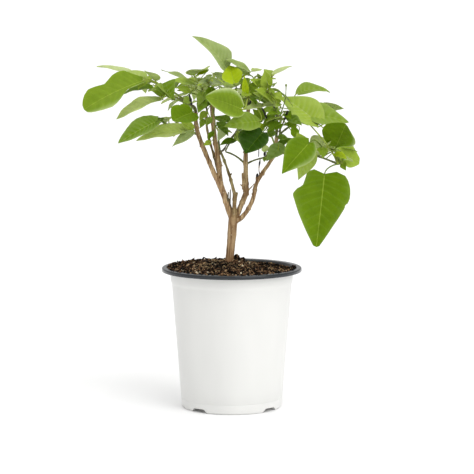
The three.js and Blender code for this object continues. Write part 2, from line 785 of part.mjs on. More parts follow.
// A leaf of an opposite pair. "round" is the degrees round the shoot that it stands at.
function pairLeaf(path, share, round, length, random) {
  const from = pointAt(path, share);
  const line = lineAt(path, share);
  const level = new THREE.Vector3(-line.y, line.x, 0).normalize();
  const out = level.clone().applyAxisAngle(line, radians(round));
  const leaning = radians(growth.spread);
  const away = line.clone().multiplyScalar(Math.cos(leaning)).addScaledVector(out, Math.sin(leaning));
  away.z += growth.lift;
  const size = length * within(random, growth.length);
  const base = from.clone().addScaledVector(away.normalize(), size * growth.stalkShare);
  const jitter = within(random, [-growth.bearingJitter, growth.bearingJitter]);
  const bearing = THREE.MathUtils.radToDeg(Math.atan2(away.y, away.x)) + jitter;
  const blade = {
    base: base.toArray(),
    length: size,
    width: size * growth.widthShare,
    bearing,
    rise: within(random, growth.rise),
    faces: bearing + within(random, growth.roll),
    tilt: within(random, growth.tilt),
    droop: within(random, growth.droop),
    point: growth.point,
  };
  return { blade, stalk: stalkPath(from, blade) };
}

function growPairs(name, mass, twigs, crowd, leaves) {
  const random = chance(mass.seed);
  mass.shoots.forEach((shoot, index) => {
    for (let pair = 0; pair < shoot.pairs; pair++) {
      const age = shoot.pairs > 1 ? pair / (shoot.pairs - 1) : 0;
      const share = shoot.first + (1 - shoot.first) * age;
      const length = shoot.leaf * (1 - age * (1 - growth.youngest));
      for (const half of [0, 180]) {
        for (let attempt = 0; attempt < growth.tries; attempt++) {
          const grown = pairLeaf(twigs.shoots[index], share, shoot.turn + 90 * pair + half, length, random);
          const samples = bladeSamples(grown.blade);
          const free = samples.every((point) => inside(mass.space, point) && !crowd.touches(point, name));
          if (!free) continue;
          keepLeaf(grown, name, crowd, leaves);
          break;
        }
      }
    }
  });
}

function massSolid(mass, twigs, leaves, grownLimbs) {
  const taper = (radius) => (share) => radius * (1 - twig.taper * share);
  const rings = (path) => Math.max(2, Math.round(path.length / ringEvery.twig));
  const parts = [tube(twigs.stem, taper(mass.stem.radius), twig.stemSides, rings(twigs.stem))];
  mass.shoots.forEach((shoot, index) => {
    const path = twigs.shoots[index];
    parts.push(tube(path, taper(shoot.radius), twig.shootSides, rings(path)));
  });
  for (const grown of leaves) parts.push(...leafSolids(grown));
  return body(joined(parts).subtract(grownLimbs[mass.bough].cutter));
}

// The leaves that stand out come first, and the rule fills what room they leave.
function makeFoliage(grownLimbs) {
  const crowd = makeCrowd();
  for (const { path, radiusAt } of Object.values(grownLimbs)) addPath(crowd, path, radiusAt(0.5), "limbs");
  const grown = Object.entries(masses).map(([name, mass]) => {
    const twigs = makeTwigs(name, mass, grownLimbs, crowd);
    return { name, mass, twigs, leaves: [] };
  });
  for (const { name, mass, twigs, leaves } of grown) {
    mass.shoots.forEach((shoot, index) => {
      for (const blade of shoot.leaves ?? []) {
        const from = pointAt(twigs.shoots[index], blade.at);
        keepLeaf({ blade, stalk: stalkPath(from, blade) }, name, crowd, leaves);
      }
    });
  }
  for (const { name, mass, twigs, leaves } of grown) growPairs(name, mass, twigs, crowd, leaves);
  return grown.map(({ name, mass, twigs, leaves }) => ({
    name,
    solid: massSolid(mass, twigs, leaves, grownLimbs),
  }));
}

// ---------- the whole plant in its pot ----------

const grownLimbs = makeLimbs();
const group = new THREE.Group();
group.add(meshOf("pot", makePot(), materials.potPlastic));
group.add(meshOf("potting_mix", makeSoil(), materials.pottingMix));
for (const [name, { solid }] of Object.entries(grownLimbs)) group.add(meshOf(name, solid, materials.bark));
for (const { name, solid } of makeFoliage(grownLimbs)) group.add(meshOf(name, solid, materials.foliage));

export default group;
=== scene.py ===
"""A young lilac, grown as a small bush, in its nursery pot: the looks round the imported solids.

Everything is in metres, +Z up, +X to the right of the front view and +Y away from the front. The
origin is on the ground under the middle of the pot. Angles are in degrees: a bearing of 0 is +X and
one of 90 is +Y, and a rise of 90 is straight up.
"""

import logging
import math
from collections.abc import Iterable, Sequence
from dataclasses import dataclass, field, replace
from enum import Enum

import bpy
import numpy as np
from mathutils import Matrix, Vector, noise


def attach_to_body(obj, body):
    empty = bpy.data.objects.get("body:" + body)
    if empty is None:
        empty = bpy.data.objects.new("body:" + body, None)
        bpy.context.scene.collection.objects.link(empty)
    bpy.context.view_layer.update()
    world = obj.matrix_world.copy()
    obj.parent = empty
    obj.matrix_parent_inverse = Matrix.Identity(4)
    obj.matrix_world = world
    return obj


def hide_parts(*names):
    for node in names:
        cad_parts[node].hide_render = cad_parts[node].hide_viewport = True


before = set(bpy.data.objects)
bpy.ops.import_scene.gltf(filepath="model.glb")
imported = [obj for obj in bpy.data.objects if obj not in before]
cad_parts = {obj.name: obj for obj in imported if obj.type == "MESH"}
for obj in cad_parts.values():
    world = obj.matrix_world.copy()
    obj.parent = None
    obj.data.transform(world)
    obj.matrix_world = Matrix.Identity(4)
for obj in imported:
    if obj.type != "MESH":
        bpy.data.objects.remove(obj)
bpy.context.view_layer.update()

LOG = logging.getLogger("lilac")
BODY = "root"
GAP = 0.0003  # between solids that meet
STEP = 0.001  # between the points of a grown line
DOME = 0.6  # how far a tube's ends bulge, a share of its radius

Array = np.ndarray
Piece = bpy.types.Object
Socket = bpy.types.NodeSocket
Pair = tuple[float, float]
Profile = list[Pair]
Angle = float | Pair
Point = tuple[float, float, float]
Colour = tuple[float, float, float]
Colour4 = tuple[float, float, float, float]
Faces = list[tuple[int, ...]]


# ---------- directions and seeded chance ----------


def heading(bearing: float, rise: float) -> Array:
    """The unit vector of a bearing and a rise in degrees."""
    b, r = math.radians(bearing), math.radians(rise)
    return np.array([math.cos(r) * math.cos(b), math.cos(r) * math.sin(b), math.sin(r)])


def unit(vector: Array) -> Array:
    """The vector at length 1."""
    return vector / np.linalg.norm(vector)


def turned(angle: Angle, share: float) -> float:
    """The angle at a share of an arc, where it may turn from a first to a last value."""
    first, last = angle if isinstance(angle, tuple) else (angle, angle)
    return first + share * (last - first)


def whole(value: float) -> int:
    """The nearest whole number, with halves rounded up."""
    return math.floor(round(value, 6) + 0.5)


class Chance:
    """A run of numbers from 0 to 1 that is always the same for the same seed."""

    WORD = 0xFFFFFFFF
    STRIDE = 0x6D2B79F5

    def __init__(self, seed: int) -> None:
        """Starts the run."""
        self._state = seed & self.WORD

    def draw(self) -> float:
        """Draws the next number.

        Returns:
            It, from 0 to 1.
        """
        self._state = (self._state + self.STRIDE) & self.WORD
        t = ((self._state ^ (self._state >> 15)) * (1 | self._state)) & self.WORD
        t = ((t + (((t ^ (t >> 7)) * (61 | t)) & self.WORD)) & self.WORD) ^ t
        return ((t ^ (t >> 14)) & self.WORD) / (self.WORD + 1)

    def within(self, limits: Pair) -> float:
        """A number between two limits."""
        return limits[0] + (limits[1] - limits[0]) * self.draw()

    def pick(self, weights: dict) -> object:
        """Picks a key.

        Args:
            weights: each key's weight, which says how likely it is.

        Returns:
            The key.
        """
        left = self.draw() * sum(weights.values())
        for key, weight in weights.items():
            left -= weight
            if left <= 0:
                return key
        return key


# ---------- finishes ----------

WHITE = (1, 1, 1, 1)


def linear(colour: Colour) -> Colour4:
    """A colour of 0 to 255, as seen on a screen, in the scene's linear light."""
    parts = [c / 255 for c in colour]
    return (*[p / 12.92 if p <= 0.04045 else ((p + 0.055) / 1.055) ** 2.4 for p in parts], 1.0)


class Shader:
    """A material under construction, with its nodes."""

    SPREAD = (0.4, 0.6, 0.1)  # of red, green and blue under a surface
    SPREAD_DEPTH = 0.003

    def __init__(self, name: str) -> None:
        """Starts a material with one Principled shader.

        Args:
            name: the material's name.
        """
        self.material = bpy.data.materials.new(name)
        self.material.use_nodes = True
        self._tree = self.material.node_tree
        self.surface = self._tree.nodes["Principled BSDF"]
        self.place = self.node("ShaderNodeTexCoord").outputs["Object"]

    def node(self, kind: str, **inputs: object) -> bpy.types.Node:
        """Adds a node and fills its inputs.

        Args:
            kind: Blender's name of the node's type.
            inputs: for each input, a value or the output socket that feeds it.

        Returns:
            The node.
        """
        made = self._tree.nodes.new(kind)
        for name, value in inputs.items():
            self.feed(made.inputs[name.replace("_", " ")], value)
        return made

    def feed(self, socket: Socket, value: object) -> None:
        """Sets a socket to a value, or links an output to it.

        Args:
            socket: the input.
            value: the value or the output.
        """
        if isinstance(value, Socket):
            self._tree.links.new(value, socket)
        else:
            socket.default_value = value

    def stretched(self, scale: Point) -> Socket:
        """The object's own coordinates, scaled along each axis."""
        return self.node("ShaderNodeMapping", Vector=self.place, Scale=scale).outputs["Vector"]

    def noise(self, vector: Socket, scale: float, detail: float = 3) -> Socket:
        """A noise between 0 and 1 with so many blotches a metre."""
        return self.node("ShaderNodeTexNoise", Vector=vector, Scale=scale, Detail=detail).outputs["Fac"]

    def ramp(self, fac: Socket, stops: Sequence[tuple[float, tuple]]) -> Socket:
        """Turns a number into a colour.

        Args:
            fac: the number's socket.
            stops: (number, colour) pairs from low to high.

        Returns:
            The colour's socket.
        """
        made = self.node("ShaderNodeValToRGB", Fac=fac)
        elements = made.color_ramp.elements
        while len(elements) < len(stops):
            elements.new(0.5)
        for element, (position, colour) in zip(elements, stops):
            element.position = position
            element.color = colour
        return made.outputs["Color"]

    def mix(self, fac: object, first: object, second: object, blend: str = "MIX") -> Socket:
        """Mixes two colours.

        Args:
            fac: the second colour's share.
            first: the first colour, or its socket.
            second: the second.
            blend: Blender's name of the way of mixing.

        Returns:
            The mixed colour's socket.
        """
        made = self._tree.nodes.new("ShaderNodeMix")
        made.data_type = "RGBA"
        made.blend_type = blend
        for index, value in ((0, fac), (6, first), (7, second)):
            self.feed(made.inputs[index], value)
        return made.outputs[2]

    def relief(self, height: Socket, depth: float, under: object = None) -> Socket:
        """Bumps the surface.

        Args:
            height: a height between 0 and 1.
            depth: what that is multiplied by, in metres.
            under: a coarser relief that this one lies on.

        Returns:
            The normal's socket.
        """
        made = self.node("ShaderNodeBump", Height=height, Distance=depth, Strength=1.0)
        if under is not None:
            self.feed(made.inputs["Normal"], under)
        return made.outputs["Normal"]

    def stored(self, name: str) -> Socket:
        """Reads a number that the mesh stores at each point.

        Args:
            name: its name.

        Returns:
            The output that holds it.
        """
        attribute = self.node("ShaderNodeAttribute")
        attribute.attribute_name = name
        return attribute.outputs["Fac"]

    def gloss(self, roughness: float, shine: float, glow: float = 0) -> None:
        """Sets how the surface shines.

        Args:
            roughness: from 0, a mirror, to 1.
            shine: the strength of its gloss.
            glow: the share of the light that spreads under it.
        """
        values = {
            "Roughness": roughness, "Specular IOR Level": shine, "Subsurface Weight": glow,
            "Subsurface Radius": self.SPREAD, "Subsurface Scale": self.SPREAD_DEPTH,
        }
        for name, value in values.items():
            self.surface.inputs[name].default_value = value

    def done(self, colour: Socket, normal: Socket) -> bpy.types.Material:
        """Feeds the surface its colour and relief.

        Args:
            colour: the output that gives its colour.
            normal: the output that gives its relief.

        Returns:
            The finished material.
        """
        self.feed(self.surface.inputs["Base Color"], colour)
        self.feed(self.surface.inputs["Normal"], normal)
        return self.material


@dataclass(frozen=True)
class Finish:
    """A surface with blotches of lighter and darker colour and a fine grain in relief."""

    name: str
    colour: Colour
    roughness: float = 0.5
    variation: float = 0.1  # how much lighter and darker the blotches are
    blotches: float = 90  # a metre
    grain: float = 1500  # a metre
    relief: float = 0.00004
    glow: float = 0  # share of the light that spreads under the surface
    shine: float = 0.5

    def build(self) -> bpy.types.Material:
        """Makes the material.

        Returns:
            The material.
        """
        shader = Shader(self.name)
        blotch = shader.noise(shader.place, self.blotches)
        low, high = self._tone(1 - self.variation), self._tone(1 + self.variation)
        tone = shader.ramp(blotch, [(0.3, linear(low)), (0.7, linear(high))])
        shader.gloss(self.roughness, self.shine, self.glow)
        grain = shader.noise(shader.place, self.grain)
        return shader.done(tone, shader.relief(grain, self.relief))

    def _tone(self, factor: float) -> Colour:
        """The colour, lighter or darker."""
        return tuple(min(255, c * factor) for c in self.colour)


@dataclass(frozen=True)
class BarkFinish:
    """Young bark in streaks, with pale raised dots.

    The mesh says where it is green ("age" 0) and where it is stained brown ("stain" 1).
    """

    name: str = "young_bark"
    green: Colour = (118, 116, 64)
    light: Colour = (204, 177, 136)
    tan: Colour = (177, 147, 108)
    dark: Colour = (132, 102, 70)
    stained: Colour = (168, 116, 78)
    dot: Colour = (212, 194, 160)
    patch: Colour4 = (0.6, 0.54, 0.46, 1)  # what darkens the colour in patches
    streaks: float = 420  # a metre, as are the next two
    dots: float = 320
    patches: float = 150
    streak_stops: Point = (0.38, 0.49, 0.62)  # where a streak is dark, tan and light
    young_stops: Pair = (0.38, 0.6)
    patch_stops: Pair = (0.34, 0.48)
    dot_stops: Pair = (0.08, 0.17)  # where a dot's top and its side end
    squeeze: Point = (0.12, 0.5, 0.55)  # heights' scale, which draws out streaks, patches and dots
    young_dark: float = 0.68  # how dark the streaks of green bark are
    ridge: float = 0.0009  # the relief of the streaks and of the dots
    dot_rise: float = 0.00015

    def build(self) -> bpy.types.Material:
        """Makes the material.

        Returns:
            The material.
        """
        shader = Shader(self.name)
        streak = shader.noise(shader.stretched((1, 1, self.squeeze[0])), self.streaks, 6)
        tones = map(linear, (self.dark, self.tan, self.light))
        old = shader.ramp(streak, list(zip(self.streak_stops, tones)))
        darker = tuple(c * self.young_dark for c in self.green)
        tones = map(linear, (darker, self.green))
        young = shader.ramp(streak, list(zip(self.young_stops, tones)))
        colour = shader.mix(shader.stored("age"), young, old)
        stain = shader.mix(shader.stored("stain"), WHITE, linear(self.stained))
        colour = shader.mix(0.9, colour, shader.mix(0.35, stain, WHITE), "MULTIPLY")
        patch = shader.noise(shader.stretched((1, 1, self.squeeze[1])), self.patches, 4)
        shade = shader.ramp(patch, list(zip(self.patch_stops, (self.patch, WHITE))))
        colour = shader.mix(0.6, colour, shade, "MULTIPLY")
        spread = shader.stretched((1, 1, self.squeeze[2]))
        cells = shader.node("ShaderNodeTexVoronoi", Vector=spread, Scale=self.dots).outputs["Distance"]
        dot = shader.ramp(cells, list(zip(self.dot_stops, (WHITE, (0, 0, 0, 1)))))
        shader.gloss(0.7, 0.25)
        ridged = shader.relief(streak, self.ridge)
        colour = shader.mix(dot, colour, linear(self.dot))
        return shader.done(colour, shader.relief(dot, self.dot_rise, ridged))


@dataclass(frozen=True)
class PlasticFinish:
    """Moulded plastic: an even colour, a faint ripple and fine flow marks."""

    name: str
    colour: Colour
    roughness: float
    ripple: float = 0.0006
    ripples: float = 34  # a metre, as are the next three
    clouds: float = 18
    dull_spots: float = 140
    marks: float = 2400
    mark_depth: float = 0.00001
    cloud_dark: float = 0.975
    play: Pair = (0.05, 0.06)  # of the roughness, down and up

    def build(self) -> bpy.types.Material:
        """Makes the material.

        Returns:
            The material.
        """
        shader = Shader(self.name)
        cloud = shader.noise(shader.stretched((1, 1, 0.3)), self.clouds, 2)
        darker = tuple(c * self.cloud_dark for c in self.colour)
        tone = shader.ramp(cloud, [(0.35, linear(darker)), (0.65, linear(self.colour))])
        rough = shader.node("ShaderNodeMapRange", Value=shader.noise(shader.place, self.dull_spots))
        rough.inputs["To Min"].default_value = self.roughness - self.play[0]
        rough.inputs["To Max"].default_value = self.roughness + self.play[1]
        shader.feed(shader.surface.inputs["Roughness"], rough.outputs["Result"])
        wave = shader.noise(shader.stretched((1, 1, 0.25)), self.ripples, 1)
        wave = shader.relief(wave, self.ripple)
        fine = shader.relief(shader.noise(shader.place, self.marks, 2), self.mark_depth, wave)
        return shader.done(tone, fine)


class Tint(Enum):
    """The leaves' colours, each the name of its finish."""

    DEEP = "leaf_deep"
    DARK = "leaf_dark"
    FRESH = "leaf_fresh"
    MID = "leaf_mid"
    LIGHT = "leaf_light"
    YELLOW = "leaf_yellow"
    PALE = "leaf_pale"
    GREY = "leaf_grey"


@dataclass(frozen=True)
class LeafFinish:
    """The satin upper side of a leaf.

    The mesh's "shade" is 0 where the leaf is deepest, 0.5 where it has its own colour, and 1 where it
    is palest. Towards 0 lies the painted shade between the veins; towards 1 the paler veins and a
    painted sheen at the margins.
    """

    tint: Tint
    colour: Colour
    deep: float = 0.72
    # what the palest parts turn to: the paler veins and the painted sheen at the margins
    pale_and_sheen: Colour = (208, 218, 176)
    pale_shares: Pair = (0.3, 0.7)  # the shares of the leaf's own colour and of the pale and sheen colour
    blotch: Colour4 = (0.84, 0.87, 0.78, 1)
    blotches: float = 90  # a metre
    blotch_stops: Pair = (0.32, 0.62)
    puckers: Pair = (520, 0.0003)  # how many a metre, and their relief
    grain: Pair = (2600, 0.00006)
    roughness: float = 0.42
    shine: float = 0.06
    glow: float = 0.08

    @property
    def name(self) -> str:
        """The material's name."""
        return self.tint.value

    def build(self) -> bpy.types.Material:
        """Makes the material.

        Returns:
            The material.
        """
        shader = Shader(self.name)
        deeper = tuple(c * self.deep for c in self.colour)
        own, pale_and_sheen = self.pale_shares
        paler = tuple(own * a + pale_and_sheen * b for a, b in zip(self.colour, self.pale_and_sheen))
        stops = [(0, linear(deeper)), (0.5, linear(self.colour)), (1, linear(paler))]
        tone = shader.ramp(shader.stored("shade"), stops)
        blotch = shader.noise(shader.place, self.blotches, 5)
        blotch = shader.ramp(blotch, list(zip(self.blotch_stops, (self.blotch, WHITE))))
        shader.gloss(self.roughness, self.shine, self.glow)
        puckers = shader.relief(shader.noise(shader.place, self.puckers[0], 2), self.puckers[1])
        fine = shader.relief(shader.noise(shader.place, self.grain[0]), self.grain[1], puckers)
        return shader.done(shader.mix(1.0, tone, blotch, "MULTIPLY"), fine)


def soft(name: str, colour: Colour, variation: float = 0.1) -> Finish:
    """A vein, stalk or green twig: satin, with light spreading in it."""
    return Finish(name, colour, roughness=0.5, variation=variation, glow=0.08, shine=0.22)


DEEP, DARK, FRESH, MID, LIGHT, YELLOW, PALE, GREY = Tint
LEAF_FINISHES = (
    LeafFinish(DEEP, (42, 72, 3)),
    LeafFinish(DARK, (82, 110, 10)),
    LeafFinish(FRESH, (102, 131, 12)),
    LeafFinish(MID, (120, 145, 36)),
    LeafFinish(LIGHT, (146, 168, 56)),
    LeafFinish(YELLOW, (160, 182, 18)),
    LeafFinish(PALE, (166, 180, 106)),
    LeafFinish(GREY, (140, 157, 88)),
)
MIDRIBS = {
    DEEP: DARK, DARK: MID, FRESH: LIGHT, MID: LIGHT,
    LIGHT: PALE, YELLOW: LIGHT, GREY: PALE,
}
LEAF_UNDER = replace(soft("leaf_underside", (166, 182, 108), 0.07), roughness=0.62, shine=0.15)
LEAF_SLOTS = (*LEAF_FINISHES, LEAF_UNDER)
DARK_TINTS = (DEEP, DARK, FRESH)


# ---------- meshes ----------


def deselect() -> None:
    """Leaves nothing selected."""
    if bpy.context.mode != "OBJECT":
        bpy.ops.object.mode_set(mode="OBJECT")
    bpy.ops.object.select_all(action="DESELECT")


def choose(piece: Piece) -> None:
    """Makes a piece the active object and the only one selected.

    Args:
        piece: the piece.
    """
    deselect()
    piece.select_set(True)
    bpy.context.view_layer.objects.active = piece


def apply_modifier(piece: Piece, kind: str, **settings: object) -> None:
    """Adds a modifier, sets it and applies it.

    Args:
        piece: the object.
        kind: Blender's name of the modifier's type.
        settings: the modifier's own properties.
    """
    choose(piece)
    modifier = piece.modifiers.new(kind.lower(), kind)
    for name, value in settings.items():
        setattr(modifier, name, value)
    bpy.ops.object.modifier_apply(modifier=modifier.name)


def smooth(piece: Piece, angle: float) -> None:
    """Shades a piece smooth except at edges sharper than an angle in degrees."""
    choose(piece)
    bpy.ops.object.shade_smooth_by_angle(angle=math.radians(angle))


def places(piece: Piece) -> Array:
    """Reads the places of a piece's vertices.

    Args:
        piece: the piece.

    Returns:
        A row for each.
    """
    flat = np.empty(len(piece.data.vertices) * 3, np.float32)
    piece.data.vertices.foreach_get("co", flat)
    return flat.reshape(-1, 3)


def store(piece: Piece, name: str, values: Array) -> None:
    """Stores a number at each of a piece's vertices, for its finish to read."""
    stored = piece.data.attributes.new(name, "FLOAT", "POINT")
    stored.data.foreach_set("value", values.astype(np.float32))


def dress(piece: Piece, finishes: Iterable[object]) -> None:
    """Gives a piece the materials of some finishes, each made once."""
    for finish in finishes:
        piece.data.materials.append(bpy.data.materials.get(finish.name) or finish.build())


def attach(piece: Piece, nodes: Iterable[str] = ()) -> None:
    """Puts a finished piece on the plant's body and reports it.

    Args:
        piece: the object.
        nodes: the solids that it stands for.
    """
    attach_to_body(piece, BODY)
    if nodes:
        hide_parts(*nodes)
    LOG.info("%s: %d faces", piece.name, len(piece.data.polygons))


def lathe(name: str, profile: Sequence[Pair], sides: int) -> Piece:
    """Raises a closed round body from a disc that is extruded and resized from ring to ring.

    Args:
        name: the object's name.
        profile: (radius, height) of each ring, from the first disc to the last.
        sides: corners round each ring.

    Returns:
        The object, with its normals pointing out.
    """
    deselect()
    radius, height = profile[0]
    place = (0, 0, height)
    bpy.ops.mesh.primitive_circle_add(vertices=sides, radius=radius, fill_type="NGON", location=place)
    piece = bpy.context.object
    piece.name = name
    bpy.ops.object.transform_apply(location=True, rotation=True, scale=True)
    bpy.ops.object.mode_set(mode="EDIT")
    bpy.ops.mesh.select_mode(type="FACE")
    bpy.ops.mesh.select_all(action="SELECT")
    for next_radius, next_height in profile[1:]:
        rise = (0, 0, next_height - height)
        bpy.ops.mesh.extrude_region_move(TRANSFORM_OT_translate={"value": rise})
        grow = next_radius / radius
        bpy.ops.transform.resize(value=(grow, grow, 1), center_override=(0, 0, next_height))
        radius, height = next_radius, next_height
    bpy.ops.mesh.select_all(action="SELECT")
    bpy.ops.mesh.normals_make_consistent(inside=False)
    bpy.ops.object.mode_set(mode="OBJECT")
    return piece


def cut(piece: Piece, tools: Iterable[Piece]) -> None:
    """Cuts each tool out of a piece and removes the tool.

    Args:
        piece: the piece.
        tools: what is cut out.
    """
    for tool in tools:
        apply_modifier(piece, "BOOLEAN", operation="DIFFERENCE", object=tool, solver="EXACT")
        bpy.data.objects.remove(tool)


def rounding(centre: Pair, radius: float, first: float, last: float, steps: int) -> Profile:
    """Rounds a corner of a profile.

    Args:
        centre: the arc's centre.
        radius: its radius.
        first: the angle that it starts at.
        last: the angle that it ends at.
        steps: how many straight steps it has.

    Returns:
        Its points.
    """
    angles = [math.radians(first + (last - first) * i / steps) for i in range(steps + 1)]
    return [(centre[0] + radius * math.cos(a), centre[1] + radius * math.sin(a)) for a in angles]


def tube(line: Array, radii: Array, sides: int) -> tuple[Array, Faces]:
    """A closed round tube along a line, with domed ends.

    Args:
        line: the points that it follows.
        radii: its radius at each of them.
        sides: corners round the tube.

    Returns:
        The points and the faces, which look outwards.
    """
    forward = np.gradient(line, axis=0)
    forward /= np.linalg.norm(forward, axis=1)[:, None]
    side = np.array([0.0, 1.0, 0.0]) if abs(forward[0][0]) > 0.9 else np.array([1.0, 0.0, 0.0])
    turn = np.arange(sides) * 2 * math.pi / sides
    rings = []
    for here, ahead, radius in zip(line, forward, radii):
        side = unit(side - ahead * side.dot(ahead))
        across = np.cross(ahead, side)
        rings.append(here + radius * (np.outer(np.cos(turn), side) + np.outer(np.sin(turn), across)))
    ends = [line[0] - forward[0] * radii[0] * DOME, line[-1] + forward[-1] * radii[-1] * DOME]
    points = np.vstack([*rings, *ends])
    last = (len(line) - 1) * sides
    foot, tip = len(line) * sides, len(line) * sides + 1
    faces: Faces = []
    for i in range(sides):
        j = (i + 1) % sides
        faces.append((foot, j, i))
        faces.append((tip, last + i, last + j))
        faces += [(r + i, r + j, r + sides + j, r + sides + i) for r in range(0, last, sides)]
    return points, faces


class Parts:
    """Gathers many small shapes and makes one mesh of them."""

    def __init__(self) -> None:
        """Starts with nothing."""
        self._points: list[Array] = []
        self._faces: Faces = []
        self._slots: list[int] = []
        self._shades: list[Array] = []
        self._count = 0

    def add(
        self, points: Array, faces: Faces, slots: int | Sequence[int] = 0, shades: Array | None = None,
    ) -> None:
        """Adds a shape.

        Args:
            points: its points.
            faces: its faces, as numbers of those points.
            slots: the material slot of all its faces, or of each.
            shades: how pale it is at each point, given for all shapes or for none.
        """
        if shades is not None:
            self._shades.append(shades)
        self._points.append(points)
        self._faces += [tuple(self._count + i for i in face) for face in faces]
        self._slots += [slots] * len(faces) if isinstance(slots, int) else list(slots)
        self._count += len(points)

    def build(self, name: str, finishes: Iterable[object], angle: float = 40) -> Piece:
        """Makes the mesh.

        Args:
            name: the object's name.
            finishes: the finish of each slot.
            angle: edges sharper than this stay sharp.

        Returns:
            The object.
        """
        mesh = bpy.data.meshes.new(name)
        mesh.from_pydata(np.vstack(self._points).tolist(), [], self._faces)
        piece = bpy.data.objects.new(name, mesh)
        bpy.context.scene.collection.objects.link(piece)
        dress(piece, finishes)
        mesh.polygons.foreach_set("material_index", self._slots)
        if self._shades:
            store(piece, "shade", np.concatenate(self._shades))
        smooth(piece, angle)
        return piece


# ---------- growth ----------


@dataclass(frozen=True)
class Arc:
    """A stretch of a limb or twig, whose bearing and rise may turn along it."""

    length: float
    bearing: Angle
    rise: Angle


class Line:
    """A grown line: points a millimetre apart."""

    def __init__(self, points: Array) -> None:
        """Keeps the points."""
        self.points = points

    @classmethod
    def grown(cls, start: Iterable[float], arcs: Iterable[Arc]) -> "Line":
        """Walks along some arcs.

        Args:
            start: where the line starts.
            arcs: the stretches, one after the other.

        Returns:
            The line.
        """
        points = [np.array(start, float)]
        for arc in arcs:
            steps = max(4, whole(arc.length / STEP))
            for i in range(steps):
                share = (i + 0.5) / steps
                way = heading(turned(arc.bearing, share), turned(arc.rise, share))
                points.append(points[-1] + way * arc.length / steps)
        return cls(np.array(points))

    @property
    def length(self) -> float:
        """How long it is."""
        return (len(self.points) - 1) * STEP

    def at(self, share: float) -> Array:
        """Finds a point on the line.

        Args:
            share: where, as a share of the length.

        Returns:
            The point.
        """
        place = share * (len(self.points) - 1)
        low = min(math.floor(place), len(self.points) - 2)
        return self.points[low] + (self.points[low + 1] - self.points[low]) * (place - low)

    def way(self, share: float) -> Array:
        """The direction there."""
        reach = 1.5 / (len(self.points) - 1)
        return unit(self.at(min(1, share + reach)) - self.at(max(0, share - reach)))

    def sampled(self, count: int) -> Array:
        """So many points, evenly spaced."""
        return np.array([self.at(i / (count - 1)) for i in range(count)])


@dataclass(frozen=True)
class Trait:
    """What the mesh of a blade shows beyond the solid's form.

    "outline" gives rows of (place along the length, left half, right half) in per cent, the halves of
    half the blade's width. The right is that of one who looks along the midrib with the upper side up.
    """

    blunt: float = 0.08  # rounds the end, from 0 to less than 1
    taper: float = 0.16  # draws the end in
    lobe: float = 0.1  # how far the lobes reach back, a share of the length
    curl: Pair = (0, 0)  # lifts the margins, left and right, a share of the length
    pale: Pair = (0.06, 0.06)  # how much paler the margins are, a painted sheen
    shade: float = 0  # paler, or below 0 deeper, as a whole
    outline: tuple[tuple[float, float, float], ...] = ()
    moved: Point = (0, 0, 0)
    grown: float = 1


PLAIN = Trait()


@dataclass(frozen=True)
class Leaf:
    """A leaf in full.

    "at" is where its stalk starts along the shoot and "base" where its blade does. "faces" is the
    bearing that its upper side turns to, "tilt" how far that side is from level, "droop" how far the
    midrib bends, and "point" the power that draws the outline in.
    """

    tint: Tint
    at: float
    base: Point
    length: float
    width: float
    bearing: float
    rise: float
    faces: float
    tilt: float
    droop: float = 20
    point: float = 0.6
    trait: Trait = PLAIN


@dataclass(frozen=True)
class Shoot:
    """A shoot: where it leaves the stem, its radius and arcs, and its opposite pairs of leaves."""

    leaves_from: float
    radius: float
    arcs: tuple[Arc, ...]
    pairs: int
    first: float = 1
    leaf: float = 0
    turn: float = 0
    leaves: tuple[Leaf, ...] = ()


@dataclass(frozen=True)
class Mass:
    """A mass of leaves: its bough, the space it keeps to, its stem and its shoots."""

    name: str
    bough: str
    along: float
    seed: int
    centre: Point
    reach: Point
    radius: float
    arcs: tuple[Arc, ...]
    shoots: tuple[Shoot, ...]

    @property
    def node(self) -> str:
        """The name of its solid."""
        return "foliage_" + self.name

    def holds(self, points: Array) -> bool:
        """Whether all the points are in the mass's space."""
        scaled = (points - np.array(self.centre)) / np.array(self.reach)
        return bool(np.all(np.linalg.norm(scaled, axis=1) <= 1))


@dataclass(frozen=True)
class Growth:
    """What a leaf made by the rule may vary by."""

    spread: float = 62
    lift: float = 0.35
    stalk_share: float = 0.34
    width_share: float = 0.66
    point: float = 0.58
    rise: Pair = (-48, 8)
    jitter: float = 24
    roll: Pair = (-70, 70)
    tilt: Pair = (10, 50)
    droop: Pair = (12, 44)
    length: Pair = (0.82, 1.14)
    youngest: float = 0.5
    tries: int = 8
    between_leaves: float = 0.0016
    between_masses: float = 0.0028
    sample_step: float = 0.005
    stalk_radius: float = 0.00075
    stalk_rise: float = 0.35
    stalk_sunk: float = 0.0025


@dataclass(frozen=True)
class BladeForm:
    """The shape that all blades share."""

    lobe: float = 0.1  # how far the lobes reach back, a share of the length
    lobe_span: float = 0.34
    fold: float = 14
    thickness: float = 0.0004


GROWTH = Growth()
FORM = BladeForm()


